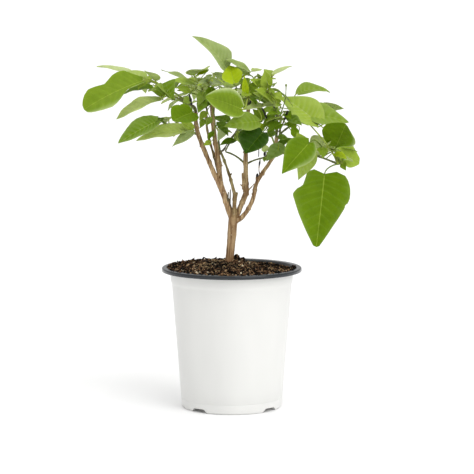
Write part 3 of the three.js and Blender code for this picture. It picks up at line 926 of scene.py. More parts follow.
class Blade:
    """A blade in space."""

    def __init__(self, leaf: Leaf) -> None:
        """Works out the blade's own directions: along the midrib, out of its face and across.

        Args:
            leaf: the leaf.
        """
        self.leaf = leaf
        self.base = np.array(leaf.base, float)
        self.along = heading(leaf.bearing, leaf.rise)
        face = heading(leaf.faces, 90 - leaf.tilt)
        self.normal = unit(face - self.along * face.dot(self.along))
        self.across = np.cross(self.along, self.normal)

    def seen(self) -> "Blade":
        """Moves or enlarges the blade a little, as its trait says.

        Returns:
            The blade as its mesh shows it.
        """
        leaf, trait = self.leaf, self.leaf.trait
        base, grown = tuple(self.base + np.array(trait.moved)), trait.grown
        return Blade(replace(leaf, base=base, length=leaf.length * grown, width=leaf.width * grown))

    def half_width(self, share: Array) -> Array:
        """Half the blade's width at a share of its length."""
        return self.leaf.width / 2 * np.sin(np.pi * np.clip(share, 0, 1) ** self.leaf.point)

    def set_back(self, share: Array) -> Array:
        """How far the margin is set back there, round the lobes."""
        return FORM.lobe * self.leaf.length * np.maximum(0, 1 - share / FORM.lobe_span) ** 2

    def bent(self, forward: Array, out: Array, lift: Array) -> Array:
        """Bends flat places into the blade's curve.

        Args:
            forward: how far along the midrib each place is.
            out: how far across, to either side.
            lift: how far above the blade.

        Returns:
            The points.
        """
        leaf = self.leaf
        turn = math.radians(math.copysign(max(1, abs(leaf.droop)), leaf.droop or 1))
        scale = leaf.length / (2 * math.sin(turn / 2))
        here = turn * (0.5 - forward / leaf.length)
        ahead = scale * (math.sin(turn / 2) - np.sin(here))
        upward = scale * (np.cos(here) - math.cos(turn / 2))
        up = np.outer(np.cos(here), self.normal) - np.outer(np.sin(here), self.along)
        fold = math.radians(FORM.fold)
        flat = self.base + np.outer(ahead, self.along) + np.outer(upward, self.normal)
        risen = np.abs(out) * math.sin(fold) + lift
        return flat + np.outer(out * math.cos(fold), self.across) + up * risen[:, None]

    def samples(self) -> Array:
        """Spreads points over the blade, to test for room.

        Returns:
            The points.
        """
        rows = math.ceil(round(self.leaf.length / GROWTH.sample_step, 6))
        columns = math.ceil(round(self.leaf.width / GROWTH.sample_step, 6))
        share = np.repeat((np.arange(rows + 1) + 0.3) / (rows + 0.3), columns + 1)
        side = np.tile(2 * np.arange(columns + 1) / columns - 1, rows + 1)
        forward = share * self.leaf.length - self.set_back(share) * np.abs(side)
        return self.bent(forward, self.half_width(share) * side, np.zeros(len(share)))

    def stalk_from(self, start: Array) -> Array:
        """Draws the stalk, upward from the shoot and into the blade along its midrib.

        Args:
            start: where it leaves the shoot.

        Returns:
            The points of its line, about a millimetre apart.
        """
        reach = float(np.linalg.norm(self.base - start))
        away = start + (self.base - start) * GROWTH.stalk_rise
        away = away + np.array([0, 0, reach * GROWTH.stalk_rise * 0.5])
        back = self.base - self.along * reach * GROWTH.stalk_rise
        t = np.linspace(0, 1, max(4, whole(reach / STEP)) + 1)[:, None]
        first = (1 - t) ** 3 * start + 3 * (1 - t) ** 2 * t * away
        curve = first + 3 * (1 - t) * t**2 * back + t**3 * self.base
        return np.vstack([curve, self.base + self.along * GROWTH.stalk_sunk])


class Crowd:
    """The points that are taken in the crown, each with a radius and an owner."""

    REACH = 0.009  # no point further off than this can be in the way

    def __init__(self) -> None:
        """Starts empty."""
        self._points = np.empty((0, 3))
        self._radii = np.empty(0)
        self._owners = np.empty(0, dtype=object)

    def add(self, points: Array, radius: float, owner: str) -> None:
        """Takes the room round some points.

        Args:
            points: the points.
            radius: how far round them.
            owner: whose they are.
        """
        self._points = np.vstack([self._points, points])
        self._radii = np.append(self._radii, np.full(len(points), radius))
        self._owners = np.append(self._owners, np.full(len(points), owner, dtype=object))

    def add_line(self, points: Array, radius: float, owner: str) -> None:
        """Takes the room along a line."""
        self.add(points[::3], radius, owner)

    def free(self, points: Array, owner: str, share: float = 1) -> bool:
        """Tests for room.

        Args:
            points: the places to test.
            owner: the mass that they belong to.
            share: the share of the usual gaps that they need.

        Returns:
            Whether nothing is in their way.
        """
        low, high = points.min(0) - self.REACH, points.max(0) + self.REACH
        near = np.all((self._points > low) & (self._points < high), axis=1)
        if not near.any():
            return True
        apart = np.linalg.norm(points[:, None] - self._points[near][None], axis=2)
        own = self._owners[near] == owner
        gaps = np.where(own, GROWTH.between_leaves, GROWTH.between_masses)
        room = self._radii[near] + gaps * share
        return not np.any(apart < room)


@dataclass
class Grown:
    """A mass as it has grown: its twigs and its leaves with their stalks."""

    mass: Mass
    stem: Line
    shoots: list[Line]
    leaves: list[tuple[Blade, Array]] = field(default_factory=list)
    side_twigs: list[Line] = field(default_factory=list)


# ---------- the plant's own sizes ----------


@dataclass(frozen=True)
class Limb:
    """A trunk or bough: where it starts, its radius at both ends and its arcs."""

    start: Point
    radii: Pair
    arcs: tuple[Arc, ...]
    age: Pair = (1, 1)  # at both ends: 0 is green, 1 is tan
    bow: Point = (0, 0, 0)  # how far the mesh bows out between the ends
    bow_power: float = 1  # moves the bow's peak towards the foot below 1, towards the end above it

    def line(self) -> Line:
        """The limb's middle line."""
        return Line.grown(self.start, self.arcs)

    def bowed(self) -> Line:
        """Bows the limb's middle line.

        Returns:
            The line as the mesh shows it.
        """
        points = self.line().points
        share = np.linspace(0, 1, len(points)) ** self.bow_power
        return Line(points + np.outer(np.sin(math.pi * share), self.bow))


LIMBS = {
    "trunk": Limb((-0.0024, 0, 0.1723), (0.0047, 0.0057), (Arc(0.004, 0, 90), Arc(0.048, 0, (84, 86.5)))),
    "bough_left": Limb(
        (0.0014, 0, 0.22), (0.0044, 0.0038), (Arc(0.054, 178, (77, 64)),), bow=(-0.0009, 0, 0),
    ),
    "bough_left_outer": Limb(
        (-0.0154, -0.0006, 0.268), (0.0031, 0.0024),
        (Arc(0.008, 188, (52, 60)), Arc(0.051, 188, (66.5, 69)), Arc(0.027, 188, (72, 96))), (1, 0.6),
    ),
    "bough_left_inner": Limb(
        (-0.0136, 0.001, 0.264), (0.0033, 0.0026),
        (Arc(0.022, 120, (84, 90)), Arc(0.073, 165, (82, 84))), (0.95, 0.8), (-0.0016, 0, 0), 1.5,
    ),
    "bough_left_thin": Limb(
        (-0.015, 0.003, 0.272), (0.0018, 0.0013), (Arc(0.08, (120, 168), (76, 78)),), (0.2, 0.5),
        (-0.0046, 0, 0), 1.6,
    ),
    "bough_middle": Limb(
        (0.0034, 0.001, 0.22), (0.0034, 0.0024),
        (Arc(0.0365, 10, (69, 66)), Arc(0.012, 150, (89, 87)), Arc(0.09, 14, (92, 84))), (0.9, 0.6),
    ),
    "bough_middle_thin": Limb(
        (0.0032, -0.0015, 0.223), (0.0026, 0.0013),
        (Arc(0.031, 268, (78, 84)), Arc(0.054, 192, (77, 66))), (0.7, 0.05),
    ),
    "bough_right": Limb(
        (0.0036, -0.0005, 0.219), (0.0029, 0.002),
        (
            Arc(0.012, 352, (22, 40)), Arc(0.0385, 352, (47, 87)), Arc(0.01, 352, 70),
            Arc(0.0315, 350, (56, 58)), Arc(0.0245, 0, (74, 90)),
        ),
        (1, 0.7), (-0.001, 0, 0.0008), 0.5,
    ),
}
FLARE = (0.0012, 0.003)  # how much wider the trunk's foot is, and over what height

BITTEN = Trait(lobe=0.06, curl=(0, 0.01), outline=(
    (1.2, 40, 38), (4.5, 70, 62), (9, 81, 64), (15, 89, 68), (20, 92, 72), (24, 93, 90), (29, 93, 100),
    (32, 91, 103), (36, 88, 99), (39, 80, 95), (43, 79, 91), (56, 64, 76), (70, 46, 56), (80, 34, 41),
    (90, 21, 25), (100, 7, 9),
))
WAISTED = Trait(lobe=0.06, curl=(-0.02, 0.01), pale=(0.4, 0), shade=-0.02, outline=(
    (2, 8, 26), (12, 13, 60), (20, 17, 90), (29, 22, 95), (38, 40, 92), (46, 62, 80), (54, 76, 68),
    (64, 87, 74), (79, 80, 80), (90, 64, 62), (97, 45, 36), (100, 20, 14),
))
NARROW = Trait(pale=(0.5, 0.1), shade=-0.08, outline=(
    (2, 15, 20), (10, 25, 58), (20, 30, 83), (35, 33, 100), (50, 42, 96), (64, 52, 80), (80, 42, 50),
    (92, 20, 20), (100, 3, 3),
))
DRAWN_OUT = Trait(lobe=0.06, pale=(0.25, 0.1), shade=0.08, outline=(
    (2, 24, 40), (8, 50, 83), (16, 68, 110), (26, 72, 107), (40, 66, 90), (60, 42, 58), (80, 20, 29),
    (92, 8, 12), (100, 2, 3),
))
STRAIGHT = Trait(lobe=0.06, pale=(0.1, 0.3), outline=(
    (2, 20, 15), (10, 62, 40), (25, 95, 60), (45, 100, 60), (65, 80, 48), (85, 40, 27), (100, 5, 4),
))
SLIM = Trait(lobe=0.03, shade=0.3, moved=(0.004, 0, -0.0015), outline=(
    (2, 16, 16), (15, 50, 50), (35, 66, 66), (60, 56, 56), (85, 26, 26), (100, 3, 3),
))
ROLLED = Trait(pale=(0.35, 0.8), curl=(0, 0.03), shade=-0.1, outline=(
    (2, 25, 30), (8, 58, 60), (18, 84, 84), (30, 95, 96), (42, 98, 96), (55, 95, 86), (68, 87, 70),
    (80, 72, 51), (90, 48, 30), (96, 24, 15), (100, 5, 4),
))
HEART = Trait(outline=(
    (2, 30, 36), (8, 60, 70), (18, 84, 94), (30, 96, 112), (42, 95, 128), (56, 83, 136), (70, 62, 120),
    (84, 38, 74), (94, 17, 30), (100, 4, 5),
))
ROUND = Trait(0.5, 0, 0.12)
LOWERED = Trait(shade=-0.12, moved=(0.0025, -0.004, -0.0058), grown=1.12, outline=(
    (2, 35, 30), (10, 75, 70), (25, 98, 92), (38, 102, 88), (50, 98, 100), (65, 84, 104), (80, 58, 86),
    (92, 30, 50), (100, 6, 10),
))
FILLED = Trait(shade=-0.14, pale=(0.05, 0.6), moved=(0.002, 0, 0.0015), grown=1.1, outline=(
    (2, 35, 5), (10, 70, 15), (20, 90, 36), (33, 100, 66), (48, 100, 88), (64, 92, 95), (80, 70, 80),
    (92, 40, 50), (100, 8, 10),
))
PALE_EDGED = Trait(pale=(0.5, 0.3))
RAISED = Trait(shade=0.18, moved=(0, 0, 0.003))
BRIGHT = Trait(shade=0.28)
TAILED = Trait(shade=0.08, outline=(
    (2, 20, 20), (15, 66, 50), (30, 84, 62), (45, 68, 50), (58, 36, 24), (70, 16, 10), (85, 7, 5),
    (100, 2, 2),
))
LIT = Trait(shade=0.14)
FRESHER = Trait(shade=0.08, pale=(0.2, 0.06), outline=(
    (2, 20, 30), (10, 42, 66), (22, 60, 90), (36, 62, 93), (50, 56, 86), (65, 44, 70), (80, 28, 46),
    (92, 13, 22), (100, 3, 4),
))
# painted light: the glow of light through the leaf, paler as a whole and much paler along one margin
PAINTED_BACKLIGHT = Trait(shade=0.34, pale=(1.3, 0.1))
FAR = Trait(shade=0.1, moved=(-0.002, 0, 0))
SOFT = Trait(shade=0.06)
DULL = Trait(shade=-0.02, pale=(0.4, 0.1))
UPPED = Trait(shade=0.28, moved=(0, 0, 0.002))
LOW = Trait(shade=0.2, moved=(0, -0.012, 0.0005))
LARGER = Trait(moved=(0.002, -0.002, 0.002), grown=1.18)
SHADED = Trait(shade=-0.2)
FAN = Trait(0, 0, 0.03, shade=0.05, outline=(
    (2, 10, 10), (30, 40, 36), (60, 74, 62), (88, 100, 86), (95, 90, 74), (100, 30, 20),
))
MASSES = (
    Mass(
        "left", "bough_left_outer", 1, 3, (-0.096, 0.01, 0.366), (0.07, 0.072, 0.034),
        0.0017, (Arc(0.005, 190, 80), Arc(0.035, 206, (36, 14))),
        (
            Shoot(1, 0.0012, (Arc(0.013, (200, 180), (30, 50)),), 2, 0.5, 0.024, 20, (
                Leaf(MID, 0.1, (-0.103, -0.022, 0.386), 0.078, 0.044, 201, -24, 258, 54, 26, 0.8, WAISTED),
                Leaf(PALE, 0, (-0.083, -0.026, 0.365), 0.057, 0.026, 196, -23, 264, 32, 30, 0.7, NARROW),
                Leaf(LIGHT, 0.6, (-0.09, -0.014, 0.384), 0.026, 0.022, 246, 26, 262, 30, 20, 0.6, RAISED),
                Leaf(LIGHT, 0.9, (-0.101, -0.01, 0.385), 0.026, 0.018, 150, 20, 266, 34, 10, 0.6, RAISED),
            )),
            Shoot(0.8, 0.0011, (Arc(0.014, (240, 262), (0, -10)),), 0, leaves=(
                Leaf(FRESH, 1, (-0.047, -0.04, 0.357), 0.031, 0.027, 228, -14, 262, 66, 12, 0.75, LOWERED),
                Leaf(MID, 0.4, (-0.068, -0.024, 0.367), 0.03, 0.022, 222, 33, 282, 40, 10),
            )),
            Shoot(0.5, 0.0013, (Arc(0.052, (136, 164), (34, 16)),), 3, 0.4, 0.054, 30, (
                Leaf(PALE, 1, (-0.12, 0.01, 0.395), 0.046, 0.024, 163, 9, 264, 16, 14, 0.6, SLIM),
            )),
        ),
    ),
    Mass(
        "left_low", "bough_left_outer", 0.68, 8, (-0.09, 0, 0.328), (0.046, 0.062, 0.026),
        0.0012, (Arc(0.022, 196, (30, 14)), Arc(0.02, 190, (14, 24))),
        (
            Shoot(1, 0.001, (Arc(0.007, 190, (20, 30)),), 1, 0.9, 0.018, 35, (
                Leaf(FRESH, 0.2, (-0.086, -0.03, 0.34), 0.053, 0.031, 198, -28, 264, 56, 24, 0.68, FRESHER),
            )),
            Shoot(0.16, 0.0009, (Arc(0.008, 210, (0, -10)),), 0, leaves=(
                Leaf(YELLOW, 1, (-0.052, -0.016, 0.329), 0.062, 0.03, 195, -11, 264, 30, 26, 0.6, PAINTED_BACKLIGHT),
                Leaf(GREY, 0.6, (-0.045, -0.026, 0.327), 0.032, 0.015, 210, -30, 262, 40, 14, 0.6, LIT),
            )),
            Shoot(0.5, 0.001, (Arc(0.026, (140, 120), (14, 4)),), 2, 0.5, 0.046, 10),
        ),
    ),
    Mass(
        "left_top", "bough_left_thin", 1, 5, (-0.056, 0.046, 0.372), (0.052, 0.08, 0.03),
        0.0012, (Arc(0.026, (200, 180), (74, 80)),),
        (
            Shoot(1, 0.001, (Arc(0.009, 190, (60, 80)),), 2, 0.4, 0.024, 55, (
                Leaf(YELLOW, 0.8, (-0.044, 0.002, 0.389), 0.038, 0.032, 297, 13, 262, 16, 14, 0.66, RAISED),
                Leaf(GREY, 0.5, (-0.056, 0.014, 0.388), 0.033, 0.018, 150, 15, 262, 20, 12, 0.6, TAILED),
                Leaf(LIGHT, 0.2, (-0.045, -0.002, 0.381), 0.03, 0.02, 206, 10, 266, 26, 16),
            )),
            Shoot(0.3, 0.0012, (Arc(0.062, (104, 120), (30, 2)),), 3, 0.45, 0.056, 20),
            Shoot(0.6, 0.001, (Arc(0.03, (160, 172), (20, 8)),), 2, 0.5, 0.034, 80),
        ),
    ),
    Mass(
        "inner", "bough_left_inner", 1, 21, (-0.014, 0.022, 0.37), (0.038, 0.104, 0.03),
        0.0016, (Arc(0.016, (200, 240), (84, 72)),),
        (
            Shoot(1, 0.0012, (Arc(0.034, (262, 272), (30, 4)),), 3, 0.4, 0.036, 40, (
                Leaf(GREY, 0.1, (-0.011, 0.008, 0.381), 0.037, 0.03, 220, 2, 268, 24, 24, 0.6, LOW),
            )),
            Shoot(0.4, 0.0013, (Arc(0.074, (84, 96), (26, 2)),), 4, 0.35, 0.056, 10),
        ),
    ),
    Mass(
        "thin_middle", "bough_middle_thin", 1, 13, (-0.01, -0.012, 0.322), (0.02, 0.026, 0.02),
        0.0011, (Arc(0.022, (150, 80), (80, 74)),),
        (
            Shoot(1, 0.0009, (Arc(0.01, (240, 250), (50, 20)),), 1, 0.9, 0.022, 30, (
                Leaf(GREY, 0.5, (-0.007, -0.014, 0.332), 0.019, 0.013, 190, -60, 262, 60, 10, 0.6, BRIGHT),
                Leaf(FRESH, 0.1, (-0.004, 0.012, 0.337), 0.024, 0.017, 141, 10, 262, 30, 12),
            )),
        ),
    ),
    Mass(
        "twig_left", "bough_middle", 0.5, 17, (0.002, -0.024, 0.318), (0.018, 0.022, 0.016),
        0.0011, (Arc(0.03, (186, 200), (52, 14)), Arc(0.028, (330, 350), (64, 56))),
        (
            Shoot(0.96, 0.0008, (Arc(0.006, 300, (50, 40)),), 1, 0.9, 0.016, 80, (
                Leaf(DARK, 0, (0.003, -0.02, 0.317), 0.02, 0.013, 210, -14, 262, 40, 10),
            )),
        ),
    ),
    Mass(
        "twig_right", "bough_middle", 0.5, 19, (0.05, -0.034, 0.306), (0.024, 0.026, 0.02),
        0.0011, (Arc(0.026, (330, 324), (50, 8)), Arc(0.018, 320, (14, 30))),
        (
            Shoot(1, 0.0008, (Arc(0.006, 320, 60),), 1, 0.9, 0.02, 45, (
                Leaf(DARK, 0.3, (0.058, -0.034, 0.312), 0.028, 0.02, 214, -38, 262, 54, 10),
            )),
        ),
    ),
    Mass(
        "top", "bough_middle", 1, 29, (0.016, 0.026, 0.372), (0.046, 0.104, 0.032),
        0.0017, (Arc(0.022, (190, 206), (80, 56)),),
        (
            Shoot(1, 0.0012, (Arc(0.012, 190, (80, 84)),), 2, 0.5, 0.024, 25, (
                Leaf(GREY, 0.6, (-0.007, -0.006, 0.4), 0.055, 0.036, 195, 43, 262, 34, 50, 0.56, DRAWN_OUT),
                Leaf(GREY, 0.9, (0.021, 0.006, 0.396), 0.036, 0.024, 210, 23, 262, 34, 14, 0.6, STRAIGHT),
                Leaf(PALE, 1, (0.025, 0.008, 0.396), 0.017, 0.012, 50, 6, 262, 30, 10),
                Leaf(YELLOW, 0.5, (0.001, -0.022, 0.382), 0.026, 0.022, 105, 40, 262, 56, 10, 0.6, LARGER),
            )),
            Shoot(0.3, 0.0012, (Arc(0.03, (282, 262), (20, -6)),), 3, 0.4, 0.028, 5, (
                Leaf(MID, 0.95, (0.011, -0.046, 0.355), 0.051, 0.038, 213, 18, 252, 60, 16, 0.66, ROLLED),
                Leaf(MID, 0.7, (0.031, -0.038, 0.34), 0.044, 0.028, 204, -6, 266, 54, 20, 0.66, SOFT),
            )),
            Shoot(0.2, 0.0013, (Arc(0.082, (76, 88), (26, 4)),), 4, 0.3, 0.058, 35, (
                Leaf(LIGHT, 0.15, (0.012, 0.02, 0.361), 0.029, 0.02, 329, -17, 262, 60, 14),
            )),
        ),
    ),
    Mass(
        "right", "bough_right", 1, 37, (0.046, -0.014, 0.356), (0.028, 0.048, 0.044),
        0.0016, (Arc(0.024, (318, 280), (84, 88)), Arc(0.03, 200, (72, 66))),
        (
            Shoot(1, 0.001, (Arc(0.018, (320, 350), (70, 82)),), 1, 0.3, 0.022, 10, (
                Leaf(PALE, 1, (0.049, -0.004, 0.391), 0.025, 0.013, 21, 22, 264, 16, 16, 0.6, UPPED),
                Leaf(LIGHT, 0.95, (0.047, -0.002, 0.391), 0.02, 0.013, 120, 20, 268, 26, 6),
                Leaf(LIGHT, 0, (0.042, -0.02, 0.378), 0.023, 0.015, 109, 60, 262, 70, 6),
                Leaf(LIGHT, 0.2, (0.04, -0.004, 0.377), 0.024, 0.016, 208, 27, 262, 50, 10),
            )),
            Shoot(0.8, 0.001, (Arc(0.022, (262, 250), (40, 20)),), 3, 0.3, 0.03, 60, (
                Leaf(LIGHT, 0.6, (0.046, -0.028, 0.364), 0.031, 0.024, 226, 26, 266, 44, 10),
                Leaf(LIGHT, 0.1, (0.055, -0.012, 0.36), 0.038, 0.02, 210, 20, 272, 56, 16, 0.6, PALE_EDGED),
            )),
            Shoot(0.35, 0.001, (Arc(0.026, (290, 270), (20, 0)),), 3, 0.4, 0.026, 15, (
                Leaf(DEEP, 0.8, (0.036, -0.042, 0.328), 0.034, 0.031, 213, -44, 262, 66, 12, 0.6, HEART),
                Leaf(DARK, 0.5, (0.056, -0.034, 0.337), 0.023, 0.015, 223, -22, 262, 50, 14, 0.6, SHADED),
            )),
            Shoot(0.5, 0.0009, (Arc(0.012, (330, 340), (20, 10)),), 1, 0.9, 0.02, 45, (
                Leaf(DARK, 1, (0.066, -0.02, 0.344), 0.023, 0.014, 316, -22, 262, 44, 18),
            )),
        ),
    ),
    Mass(
        "right_back", "bough_right", 0.84, 43, (0.084, 0.05, 0.348), (0.062, 0.07, 0.03),
        0.0015, (Arc(0.03, (80, 60), (60, 30)), Arc(0.03, (50, 30), (30, 16))),
        (
            Shoot(1, 0.0011, (Arc(0.036, (24, 12), (16, 0)),), 3, 0.4, 0.05, 25),
            Shoot(0.45, 0.0012, (Arc(0.054, (84, 96), (34, 8)),), 3, 0.4, 0.056, 70),
            Shoot(0.8, 0.001, (Arc(0.024, (70, 90), (70, 60)),), 0, leaves=(
                Leaf(MID, 1, (0.079, 0.028, 0.369), 0.041, 0.03, 22, 0, 262, 24, 56, 0.66, SOFT),
            )),
        ),
    ),
    Mass(
        "right_hanging", "bough_right", 0.82, 41, (0.114, -0.002, 0.306), (0.042, 0.062, 0.038),
        0.0015, (Arc(0.048, (345, 342), (14, -12)), Arc(0.03, 352, (-16, -24))),
        (
            Shoot(1, 0.0011, (Arc(0.005, 340, (0, 20)),), 1, 0.9, 0.016, 30, (
                Leaf(FRESH, 0.2, (0.108, -0.026, 0.2785), 0.086, 0.07, 205, -83, 272, 84, 10, 0.48, BITTEN),
                Leaf(LIGHT, 0.3, (0.1005, -0.012, 0.336), 0.059, 0.046, 149, 31, 276, 34, 20, 0.66),
                Leaf(
                    FRESH, 0.6, (0.1185, -0.032, 0.309), 0.037, 0.041, 290, 44, 272, 62, -10, 0.75, FILLED
                ),
                Leaf(LIGHT, 0.9, (0.123, -0.012, 0.302), 0.035, 0.032, 34, -20, 274, 62, 16, 0.75, ROUND),
                Leaf(MID, 0.1, (0.09, -0.004, 0.346), 0.05, 0.036, 14, -12, 276, 44, 26, 0.62, SOFT),
            )),
            Shoot(0.56, 0.001, (Arc(0.026, (290, 330), (26, 10)),), 1, 0.9, 0.022, 15, (
                Leaf(FRESH, 0.95, (0.089, -0.058, 0.317), 0.049, 0.038, 204, -45, 268, 60, 12, 0.6, DULL),
                Leaf(LIGHT, 0.6, (0.094, -0.034, 0.307), 0.038, 0.024, 195, -66, 268, 76, 10, 0.6, FAR),
            )),
            Shoot(0.75, 0.001, (Arc(0.026, (60, 50), (20, 6)),), 2, 0.45, 0.044, 70),
        ),
    ),
)


@dataclass(frozen=True)
class SmallLeaf:
    """A leaf that the solids leave out, with its blade's base, tip and width in millimetres."""

    mass: str
    tint: Tint
    base: Point
    tip: Point
    width: float
    faces: float = 266
    tilt: float = 60
    droop: float = 14
    trait: Trait = PLAIN

    def blade(self, back: float) -> Blade:
        """Works out the blade.

        Args:
            back: how far it is moved away from the front.

        Returns:
            The blade.
        """
        base = np.array(self.base) / 1000 + np.array([0, back, 0])
        reach = np.array(self.tip) / 1000 + np.array([0, back, 0]) - base
        length = float(np.linalg.norm(reach))
        bearing = math.degrees(math.atan2(reach[1], reach[0]))
        rise = math.degrees(math.asin(reach[2] / length))
        width, form = self.width / 1000, (self.faces, self.tilt, self.droop, GROWTH.point, self.trait)
        return Blade(Leaf(self.tint, 0, tuple(base), length, width, bearing, rise, *form))


SMALL_LEAVES = (
    SmallLeaf("top", YELLOW, (16.6, -22, 370), (14.6, -24, 393), 9, tilt=78),
    SmallLeaf("right", PALE, (36, -30, 358), (10.5, -42, 353), 12, tilt=34),
    SmallLeaf("right", PALE, (50, -26, 360), (35, -30, 357), 10, tilt=40),
    SmallLeaf("twig_left", LIGHT, (7, -8, 327), (13, -6, 309.5), 12),
    SmallLeaf("twig_left", MID, (12.5, 8, 326), (2, 6, 312), 13),
    SmallLeaf("right_hanging", LIGHT, (83, -44, 313), (75, -42, 328), 15),
    SmallLeaf("right", DARK, (55, -24, 321), (66, -26, 319.5), 9),
    SmallLeaf("right_hanging", MID, (75, 4, 333), (60, -2, 334), 11),
    SmallLeaf("twig_right", PALE, (39.5, -36, 306), (36.5, -38, 315), 10),
    SmallLeaf("twig_right", MID, (41, -20, 337), (57, -30, 332), 11),
    SmallLeaf("right", FRESH, (41, -24, 342), (53.6, -30, 350.5), 12),
    SmallLeaf("right", YELLOW, (37, -20, 330), (30, -26, 338), 9),
    SmallLeaf("left_top", MID, (-33, -12, 372), (-39, -18, 357), 13),
    SmallLeaf("inner", FRESH, (-22, -16, 377), (-30, -22, 361), 13),
    SmallLeaf("left_top", MID, (-32, -4, 340), (-37, -8, 330), 9),
    SmallLeaf("left_top", YELLOW, (-25, -4, 314), (-33, -7, 310), 8),
    SmallLeaf("inner", MID, (-18, -12, 360), (-8, -18, 350), 12),
    SmallLeaf("inner", LIGHT, (-30, -10, 349), (-38, -14, 340), 10),
    SmallLeaf("inner", DARK, (-26, 10, 366), (-33, 4, 352), 14),
    SmallLeaf("left", MID, (-48, -22, 366), (-57, -26, 358), 11),
    SmallLeaf("left", FRESH, (-67.6, -34, 366), (-76.6, -30, 385), 29, tilt=72, trait=FAN),
    SmallLeaf("top", MID, (21, -14, 373), (35, -16, 387), 13),
    SmallLeaf("top", LIGHT, (21, -17, 366), (31, -23, 375), 11),
    SmallLeaf("thin_middle", DARK, (12, -16, 339), (1.5, -22, 332.5), 10),
    SmallLeaf("inner", FRESH, (-32, -14, 363.5), (-39, -18, 348.5), 14),
    SmallLeaf("inner", MID, (-24, -6, 342), (-30, -8, 333), 9),
    SmallLeaf("inner", FRESH, (-22, -6, 325.5), (-28, -8, 316.5), 7),
    SmallLeaf("left_low", LIGHT, (-45, -18, 330), (-60, -22, 339.5), 12),
    SmallLeaf("left", MID, (-79, -26, 370), (-92, -28, 374.5), 9),
    SmallLeaf("left_top", LIGHT, (-49.5, -10, 373.5), (-65, -14, 378.5), 10),
    SmallLeaf("left_top", YELLOW, (-28.5, 0, 397.5), (-42, -2, 391), 9, tilt=40),
    SmallLeaf("twig_right", DARK, (47, -20, 322), (43, -22, 334), 11),
    SmallLeaf("twig_right", DARK, (55, -20, 312.5), (71, -24, 320), 10),
    SmallLeaf("right", FRESH, (74.5, -26, 322.5), (70, -26, 336.5), 11),
    SmallLeaf("right", MID, (36, -24, 341), (24, -28, 354), 14),
    SmallLeaf("right", LIGHT, (38, -26, 346), (29, -30, 355), 11),
)


# ---------- growing the crown ----------


@dataclass(frozen=True)
class SideTwigs:
    """The finer twigs, which the solids leave out."""

    every: float = 0.0105  # along stems and shoots
    length: Pair = (0.006, 0.016)
    leaf: Pair = (0.009, 0.019)
    radius: float = 0.0006
    spread: float = 50
    rise: Pair = (-20, 50)
    seed: int = 977


@dataclass(frozen=True)
class Spot:
    """Where a leaf of a pair may grow, round a shoot, and its length and colour."""

    line: Line
    share: float
    round_at: float
    length: float
    tint: Tint


